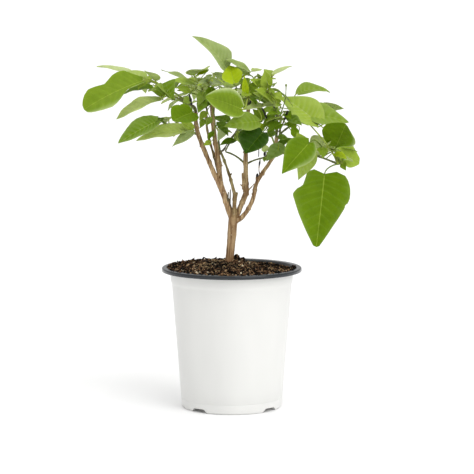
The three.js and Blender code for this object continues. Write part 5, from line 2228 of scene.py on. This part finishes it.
@dataclass
class Pot:
    """The nursery pot: a tapered cup with a foot band, a shoulder, a rolled rim and drain notches."""

    height: float = 0.166
    base_radius: float = 0.0592
    corner: float = 0.0024
    draft: float = 0.0793
    wall: float = 0.0012
    floor: float = 0.0014
    crease: float = 0.011
    crease_depth: float = 0.0004
    crease_form: tuple[Pair, ...] = ((-0.0007, 0), (0, 1), (0.0006, 0.8), (0.0012, 0))
    shoulder: float = 0.146
    shoulder_step: float = 0.005
    shoulder_width: float = 0.001
    rim_radius: float = 0.0825
    rim_drop: float = 0.0044
    rim_round: float = 0.0018
    rim_edge: float = 0.0005
    rim_tuck: float = 0.0006  # the rounding where the rim meets the wall
    mouth_depth: float = 0.003
    mouth_flare: float = 0.0034
    sides: int = 160
    notches: int = 4
    notch_turn: float = 4.5
    notch_height: float = 0.0046
    notch_width: float = 0.025
    notch_slope: float = 0.005
    notch_inner: float = 0.044
    notch_round: float = 0.0008
    hole_radius: float = 0.0032
    hole_depth: float = 0.006

    def wall_radius(self, z: float) -> float:
        """The outer wall's radius at a height."""
        return self.base_radius + self.draft * (z - self.corner)

    def inner_radius(self, z: float) -> float:
        """The inner wall's radius at a height."""
        return self.wall_radius(z) - self.wall

    def outside(self) -> Profile:
        """Draws the outer profile, from the underside to the middle of the rim's top.

        Returns:
            Its points, as radius and height.
        """
        lip = self.height - self.rim_drop
        crease, depth = self.crease, self.crease_depth
        start = (self.base_radius - self.corner, self.corner)
        profile = rounding(start, self.corner, -90, 0, 6)
        for over, part in self.crease_form:
            profile.append((self.wall_radius(crease + over) - depth * part, crease + over))
        steps = 9
        for i in range(1, steps + 1):
            z = crease + (self.shoulder - crease) * i / steps
            profile.append((self.wall_radius(z), z))
        for share in (0.25, 0.5, 0.75, 1):
            z = self.shoulder + self.shoulder_step * share
            out = self.shoulder_width * share * share * (3 - 2 * share)
            profile.append((self.wall_radius(z) + out, z))
        tuck, edge = self.rim_tuck, self.rim_edge
        profile.append((self.wall_radius(lip - tuck) + self.shoulder_width, lip - tuck))
        centre = (self.wall_radius(lip) + self.shoulder_width + tuck, lip - tuck)
        profile += rounding(centre, tuck, 180, 90, 3)
        profile += rounding((self.rim_radius - edge, lip + edge), edge, -90, 0, 3)
        top = (self.rim_radius - self.rim_round, self.height - self.rim_round)
        profile += rounding(top, self.rim_round, 0, 90, 6)
        profile.append((self.mouth[-1][0], self.height))
        return profile

    @property
    def mouth(self) -> Profile:
        """Draws the profile of the inner wall where it flares out to the rim.

        Returns:
            Its points from below, as radius and height.
        """
        low = self.height - self.mouth_depth
        start, flare = self.inner_radius(low), self.mouth_flare
        shares = ((0, 0), (0.28, 0.42), (0.62, 0.82), (1, 1))
        return [(start + flare * out, low + self.mouth_depth * up) for out, up in shares]

    def top_height(self, radius: float) -> float:
        """How high the pot's own surface is at a radius beyond the mix."""
        return float(np.interp(radius, *zip(*self.mouth)))

    def inside(self) -> Profile:
        """Draws the profile of the room inside, from the floor to above the rim.

        Returns:
            Its points, as radius and height.
        """
        low = self.height - self.mouth_depth
        centre = (self.inner_radius(0) - self.corner, self.floor + self.corner)
        profile = rounding(centre, self.corner, -90, 0, 5)
        profile += [(self.inner_radius(low * i / 6), low * i / 6) for i in range(1, 6)]
        profile += self.mouth
        profile.append((self.mouth[-1][0] + 0.0004, self.height + self.rim_drop))
        return profile

    def notch_tools(self, extra: float) -> list[Piece]:
        """The blocks that cut the drain notches, grown on every side by "extra"."""
        return [self._notch_tool(number, extra) for number in range(self.notches)]

    def _angle(self, number: int) -> float:
        """The turn of a notch, in radians."""
        return math.radians(self.notch_turn + 360 * (number + 0.5) / self.notches)

    def _notch_tool(self, number: int, extra: float) -> Piece:
        """Makes a block whose upper part leans in to both sides, with its upper edges rounded.

        Args:
            number: which notch it cuts.
            extra: how much larger it is on every side.

        Returns:
            The block.
        """
        deselect()
        inner, outer = self.notch_inner - extra, self.rim_radius
        low, high = -self.rim_drop, self.notch_height + extra
        width = self.notch_width + 2 * extra
        bpy.ops.mesh.primitive_cube_add(size=1, location=(0, 0, low / 2))
        tool = bpy.context.object
        tool.scale = (width, outer - inner, -low)
        bpy.ops.object.transform_apply(location=True, rotation=True, scale=True)
        bpy.ops.object.mode_set(mode="EDIT")
        bpy.ops.mesh.select_mode(type="FACE")
        bpy.ops.mesh.select_all(action="DESELECT")
        bpy.ops.object.mode_set(mode="OBJECT")
        for face in tool.data.polygons:
            face.select = face.normal.z > 0.9
        bpy.ops.object.mode_set(mode="EDIT")
        bpy.ops.mesh.extrude_region_move(TRANSFORM_OT_translate={"value": (0, 0, high)})
        lean = 1 - 2 * self.notch_slope / width
        bpy.ops.transform.resize(value=(lean, 1, 1), center_override=(0, 0, high))
        bpy.ops.mesh.bevel(offset=self.notch_round, segments=3, affect="EDGES")
        bpy.ops.object.mode_set(mode="OBJECT")
        tool.location = (0, (inner + outer) / 2, 0)
        bpy.ops.object.transform_apply(location=True, rotation=True, scale=True)
        tool.rotation_euler = (0, 0, self._angle(number) + math.pi)
        bpy.ops.object.transform_apply(location=True, rotation=True, scale=True)
        return tool

    def _hole_tools(self) -> list[Piece]:
        """Makes the rods that cut the drain holes, above the notches.

        Returns:
            The rods.
        """
        tools = []
        reach = (self.notch_inner + self.base_radius) / 2
        for number in range(self.notches):
            deselect()
            angle = self._angle(number) - math.pi / 2
            bpy.ops.mesh.primitive_cylinder_add(
                vertices=24, radius=self.hole_radius, depth=self.hole_depth,
                location=(reach * math.cos(angle), reach * math.sin(angle), self.notch_height),
            )
            tools.append(bpy.context.object)
        return tools

    def build(self) -> None:
        """Makes the pot."""
        piece = lathe("pot_shell", self.outside(), self.sides)
        room = lathe("pot_room", self.inside(), self.sides)
        cut(room, self.notch_tools(self.wall))
        cut(piece, [*self.notch_tools(0), room, *self._hole_tools()])
        dress(piece, (
            PlasticFinish("white_plastic", (229, 229, 226), 0.34),
            PlasticFinish("dark_plastic", (32, 37, 42), 0.2, 0.0001),
            # the rim's dark plastic once more, made darker: painted shade inside the pot
            PlasticFinish("dark_plastic_painted_shade", (15, 18, 20), 0.45, 0.0001),
        ))
        self._paint(piece)
        smooth(piece, 32)
        attach(piece, ("pot",))

    def _paint(self, piece: Piece) -> None:
        """Makes the rim dark, the inside darker still with painted shade, and leaves the outside white.

        Args:
            piece: the pot.
        """
        lip = self.height - self.rim_drop
        slack = 0.0002
        for face in piece.data.polygons:
            x, y, z = face.center
            radius = math.hypot(x, y)
            inner = radius < self.inner_radius(z) + self.wall * 0.4 and z > self.floor / 2
            inner = inner or z > self.height - self.mouth_depth
            notch = z < self.notch_height + self.wall * 0.5 and radius > self.notch_inner - 5 * slack
            rim = z > lip - slack and radius > self.mouth[-1][0] - slack
            # slot 2 paints shade on the inside
            face.material_index = 1 if rim else 2 * int(inner and not notch)


# ---------- potting mix ----------


@dataclass(frozen=True)
class Bit:
    """A sort of bit on the mix: its length, and all else of its form as shares of that."""

    count: int
    inset: float  # from where the surface ends
    length: Pair
    breadth: Pair
    thickness: tuple[float, ...]  # one, or a range
    rough: float  # how far its corners move
    rise: Pair  # in degrees
    height: Pair  # of its middle above the surface


@dataclass
class PottingMix:
    """Peat and composted bark: a rough surface with granules, chips, fibres and perlite on it."""

    pot: Pot
    level: float = 0.1626
    mound: float = 0.024
    lean: float = 0.035
    seat_radius: float = 0.0095
    seat_height: float = 0.172
    rings: int = 34
    sides: int = 150
    top_from: float = 0.155  # where the part that is rough begins
    ripple: float = 0.0007
    ripple_span: float = 0.0055
    lump: float = 0.0016
    lump_scale: float = 130  # a metre
    sunk: float = 0.0006
    granules: Bit = Bit(12600, 0.001, (0.0006, 0.0019), (0.6, 1), (0.8,), 0.9, (-60, 60), (-0.1, 0.5))
    chips: Bit = Bit(
        2500, 0.002, (0.0018, 0.0056), (0.22, 0.6), (0.12, 0.3), 0.7, (-42, 42), (0, 0.3)
    )
    crumbs: tuple[tuple[str, Colour], ...] = (
        ("crumb_black", (12, 8, 4)), ("crumb_dark", (38, 25, 15)), ("crumb_brown", (76, 54, 38)),
        ("crumb_umber", (112, 86, 62)), ("crumb_bark", (158, 130, 98)), ("crumb_pale", (198, 184, 158)),
    )
    patch_scale: float = 34  # a metre, of the darker patches
    perlite: int = 90
    perlite_size: Pair = (0.0009, 0.0019)
    perlite_inset: float = 0.003
    fibres: int = 420
    fibre_inset: float = 0.012
    fibre_length: Pair = (0.004, 0.013)
    fibre_foot: float = 0.0005  # how deep it starts
    fibre_rise: Pair = (8, 66)
    fibre_droop: float = -20
    fibre_turn: Pair = (-90, 90)
    fibre_radii: Pair = (0.00022, 0.0001)
    heap: Point = (0.0062, 0.003, 0.0085)  # beside the trunk: where it is and how high
    heap_reach: float = 0.0048
    spill: float = 0.0078  # how far the crumbs lie out over the rim
    rim_gap: float = 0.002  # how far inside the edge the rim's own height starts to count
    bare: Pair = (8, 78)  # bearings between which the rim's inside stays clear
    seed: int = 31

    def height_at(self, x: float, y: float) -> float:
        """Finds the surface's height, without its lumps.

        Args:
            x: the place.
            y: the place.

        Returns:
            The height.
        """
        beyond = max(0, math.hypot(x - LIMBS["trunk"].start[0], y) - self.seat_radius)
        span = self.ripple_span
        ripple = self.ripple * math.sin(x / span + 1) * math.cos(y / span)
        plain = self.level - self.lean * x + ripple
        return plain + (self.seat_height - plain) * math.exp(-((beyond / self.mound) ** 2))

    def rough_height(self, x: float, y: float) -> float:
        """Finds the surface's height with its lumps and the heap.

        Args:
            x: the place.
            y: the place.

        Returns:
            The height.
        """
        lump = noise.fractal((x * self.lump_scale, y * self.lump_scale, 3.1), 0.9, 2.1, 4)
        away = math.hypot(x - self.heap[0], y - self.heap[1])
        heap = self.heap[2] * math.exp(-((away / self.heap_reach) ** 2))
        return self.height_at(x, y) + self.lump * lump - self.sunk + heap

    def crumb_height(self, x: float, y: float) -> float:
        """Finds the height that crumbs lie at, on the mix or out on the rim.

        Args:
            x: the place.
            y: the place.

        Returns:
            The height.
        """
        radius = math.hypot(x, y)
        if radius < self.edge - self.rim_gap:
            return self.rough_height(x, y)
        return max(self.rough_height(x, y), self.pot.top_height(radius))

    @property
    def edge(self) -> float:
        """The radius of the surface, where it meets the pot."""
        return self.pot.inner_radius(self.level) - 2 * GAP

    def build(self) -> None:
        """Makes the body of the mix and all that lies on it."""
        self._body()
        self._crumbs()
        self._bits()

    def _body(self) -> None:
        """The root ball, with a rough top."""
        pot = self.pot
        low = pot.floor + GAP
        profile = [(pot.inner_radius(0) - pot.corner, low)]
        profile.append((pot.inner_radius(pot.corner) - 2 * GAP, pot.corner + low))
        profile += [(pot.inner_radius(z) - 2 * GAP, z) for z in (0.05, 0.1, 0.15)]
        ring = [self.edge * (1 - i / self.rings) for i in range(self.rings)]
        profile += [(radius, self.level) for radius in ring]
        piece = lathe("potting_mix_body", profile, self.sides)
        cut(piece, pot.notch_tools(pot.wall + GAP))
        for vertex in piece.data.vertices:
            x, y, z = vertex.co
            if z > self.top_from:
                vertex.co.z = self.rough_height(x, y)
        dress(piece, (Finish("peat", (20, 13, 8), 0.95, 0.4, 420, relief=0.0012, shine=0.1),))
        smooth(piece, 50)
        attach(piece, ("potting_mix",))

    def _place(self, chance: Chance, inset: float) -> Pair:
        """Picks a place on the surface or the inner part of the rim.

        Args:
            chance: where it is drawn from.
            inset: how far it stays from where they end.

        Returns:
            The place.
        """
        while True:
            bearing = 360 * chance.draw()
            radius = (self.edge + self.spill - inset) * math.sqrt(chance.draw())
            edge = self.edge + self.spill * chance.draw() ** 0.5
            if self.bare[0] < bearing < self.bare[1]:
                edge = self.edge
            if radius < edge - inset:
                angle = math.radians(bearing)
                return radius * math.cos(angle), radius * math.sin(angle)

    @staticmethod
    def _lump(chance: Chance, size: Point, rough: float) -> tuple[Array, Faces]:
        """Makes a small uneven stone or chip: a box with its corners moved about.

        Args:
            chance: where the moves are drawn from.
            size: the box's.
            rough: how far the corners move, as a share.

        Returns:
            Its points and faces.
        """
        corners = [(x, y, z) for x in (-1, 1) for y in (-1, 1) for z in (-1, 1)]
        points = np.array(corners, float) * np.array(size) / 2
        points *= 1 + rough * (np.array([[chance.draw() for _ in range(3)] for _ in corners]) - 0.5)
        ends: Faces = [(0, 1, 3, 2), (4, 6, 7, 5)]
        return points, [*ends, (0, 4, 5, 1), (2, 3, 7, 6), (0, 2, 6, 4), (1, 5, 7, 3)]

    @staticmethod
    def _turn(points: Array, bearing: float, rise: float, roll: float) -> Array:
        """Turns a shape so that its long side takes a bearing and a rise.

        Args:
            points: the shape's points.
            bearing: in degrees, as are the next two.
            rise: above level.
            roll: about the long side.

        Returns:
            The turned points.
        """
        ahead = heading(bearing, rise)
        side = unit(np.cross([0, 0, 1], ahead))
        up = np.cross(ahead, side)
        r = math.radians(roll)
        side, up = side * math.cos(r) + up * math.sin(r), up * math.cos(r) - side * math.sin(r)
        return points @ np.array([ahead, side, up])

    def _crumbs(self) -> None:
        """The dark granules and bark chips."""
        chance = Chance(self.seed)
        parts = Parts()
        for paler, bit in enumerate((self.granules, self.chips)):
            for _ in range(bit.count):
                x, y = self._place(chance, bit.inset)
                long = chance.within(bit.length)
                broad = long * chance.within(bit.breadth)
                fixed = len(bit.thickness) == 1
                thick = long * (bit.thickness[0] if fixed else chance.within(bit.thickness))
                points, faces = self._lump(chance, (long, broad, thick), bit.rough)
                bearing, rise = 360 * chance.draw(), chance.within(bit.rise)
                points = self._turn(points, bearing, rise, 360 * chance.draw())
                z = self.crumb_height(x, y) + long * chance.within(bit.height)
                slot = self._shade(chance, x, y, paler)
                parts.add(points + np.array([x, y, z]), faces, slot)
        finishes = [
            Finish(name, colour, roughness=0.85, variation=0.3, blotches=400, shine=0.12)
            for name, colour in self.crumbs
        ]
        attach(parts.build("soil_crumbs", finishes, 20))

    def _shade(self, chance: Chance, x: float, y: float, paler: int) -> int:
        """Picks a crumb's colour: patches of the surface are darker, the rest is mixed.

        Args:
            chance: where it is drawn from.
            x: the place.
            y: the place.
            paler: by how many slots it may be paler.

        Returns:
            The material slot.
        """
        scale = self.patch_scale
        patch = 0.5 + 0.5 * noise.noise((x * scale, y * scale, 8.3))
        value = chance.draw() ** (0.9 + 1.4 * patch) * (4.4 + paler)
        return min(len(self.crumbs) - 1, int(value))

    def _bits(self) -> None:
        """Pale perlite and thin fibres, which are thicker round the trunk."""
        chance = Chance(self.seed + 1)
        parts = Parts()
        for _ in range(self.perlite):
            x, y = self._place(chance, self.perlite_inset)
            size = chance.within(self.perlite_size)
            points, faces = self._lump(chance, (size, size * 0.9, size * 0.8), 0.6)
            parts.add(points + np.array([x, y, self.crumb_height(x, y) + size * 0.3]), faces, 0)
        for number in range(self.fibres):
            x, y = self._place(chance, self.fibre_inset)
            if number % 2:
                x, y = x * 0.5 + LIMBS["trunk"].start[0], y * 0.5
            bearing, rise = 360 * chance.draw(), chance.within(self.fibre_rise)
            length, turn = chance.within(self.fibre_length), chance.within(self.fibre_turn)
            arc = Arc(length, (bearing, bearing + turn), (rise, self.fibre_droop))
            line = Line.grown((x, y, self.rough_height(x, y) - self.fibre_foot), (arc,))
            count = max(5, len(line.points) // 2)
            radii = np.linspace(*self.fibre_radii, count)
            parts.add(*tube(line.sampled(count), radii, 4), 1 + int(chance.draw() * 2))
        finishes = (
            Finish("perlite", (206, 198, 180), roughness=0.9, variation=0.1, blotches=500),
            Finish("fibre_dark", (84, 58, 38), roughness=0.85, variation=0.2),
            Finish("fibre_pale", (190, 164, 124), roughness=0.85, variation=0.2),
        )
        attach(parts.build("soil_bits", finishes, 30))


# ---------- studio ----------


@dataclass(frozen=True)
class Lamp:
    """A broad light that is as strong on all of the floor: where it is, and how wide it looks."""

    name: str
    bearing: float
    rise: float
    strength: float
    softness: float


@dataclass
class Studio:
    """The white floor, the soft light and the camera."""

    frame_side: float = 474  # pixels
    focal: float = 2207  # pixels
    sensor: float = 0.036 * 1000
    camera_place: Point = (0.0062, -2.58, 0.510)
    pitch: float = 6.82  # how far the camera looks down
    floor_reach: float = 60
    sky: float = 0.62
    lamps: tuple[Lamp, ...] = (Lamp("key", -50, 35, 1.12, 45), Lamp("top", 0, 88, 1.22, 70))

    def build(self) -> None:
        """Makes the studio."""
        self._floor()
        self._world()
        for lamp in self.lamps:
            self._light(lamp)
        self._camera()

    def _floor(self) -> None:
        """A plain pale floor."""
        deselect()
        bpy.ops.mesh.primitive_plane_add(size=2 * self.floor_reach)
        floor = bpy.context.object
        floor.name = "floor"
        shader = Shader("floor_white")
        shader.surface.inputs["Base Color"].default_value = (0.97, 0.97, 0.97, 1)
        shader.surface.inputs["Roughness"].default_value = 0.9
        floor.data.materials.append(shader.material)

    def _world(self) -> None:
        """Even white light from all round."""
        world = bpy.data.worlds.new("studio")
        world.use_nodes = True
        sky = world.node_tree.nodes["Background"]
        sky.inputs["Color"].default_value = (1, 1, 1, 1)
        sky.inputs["Strength"].default_value = self.sky
        bpy.context.scene.world = world

    @staticmethod
    def _light(lamp: Lamp) -> None:
        """Adds a light that shines from one side.

        Args:
            lamp: what it is like.
        """
        sun = bpy.data.lights.new(lamp.name, "SUN")
        sun.angle = math.radians(lamp.softness)
        sun.energy = lamp.strength
        light = bpy.data.objects.new(lamp.name, sun)
        bpy.context.scene.collection.objects.link(light)
        away = Vector(heading(lamp.bearing, lamp.rise))
        light.rotation_euler = away.to_track_quat("Z", "Y").to_euler()

    def _camera(self) -> None:
        """The camera, level from left to right and looking a little down."""
        lens = bpy.data.cameras.new("camera")
        lens.sensor_width = self.sensor
        lens.lens = self.focal * self.sensor / self.frame_side
        lens.clip_end = 4 * self.floor_reach
        camera = bpy.data.objects.new("camera", lens)
        bpy.context.scene.collection.objects.link(camera)
        camera.location = self.camera_place
        camera.rotation_euler = (math.radians(90 - self.pitch), 0, 0)
        bpy.context.scene.camera = camera


def main() -> None:
    """Builds the plant, its pot and the studio."""
    logging.basicConfig(level=logging.INFO, format="%(message)s")
    bpy.context.scene.view_settings.view_transform = "Standard"
    pot = Pot()
    pot.build()
    PottingMix(pot).build()
    Bark().build()
    DeadWood().build()
    Foliage(Crown()).build()
    Studio().build()


if __name__ == "__main__":
    main()
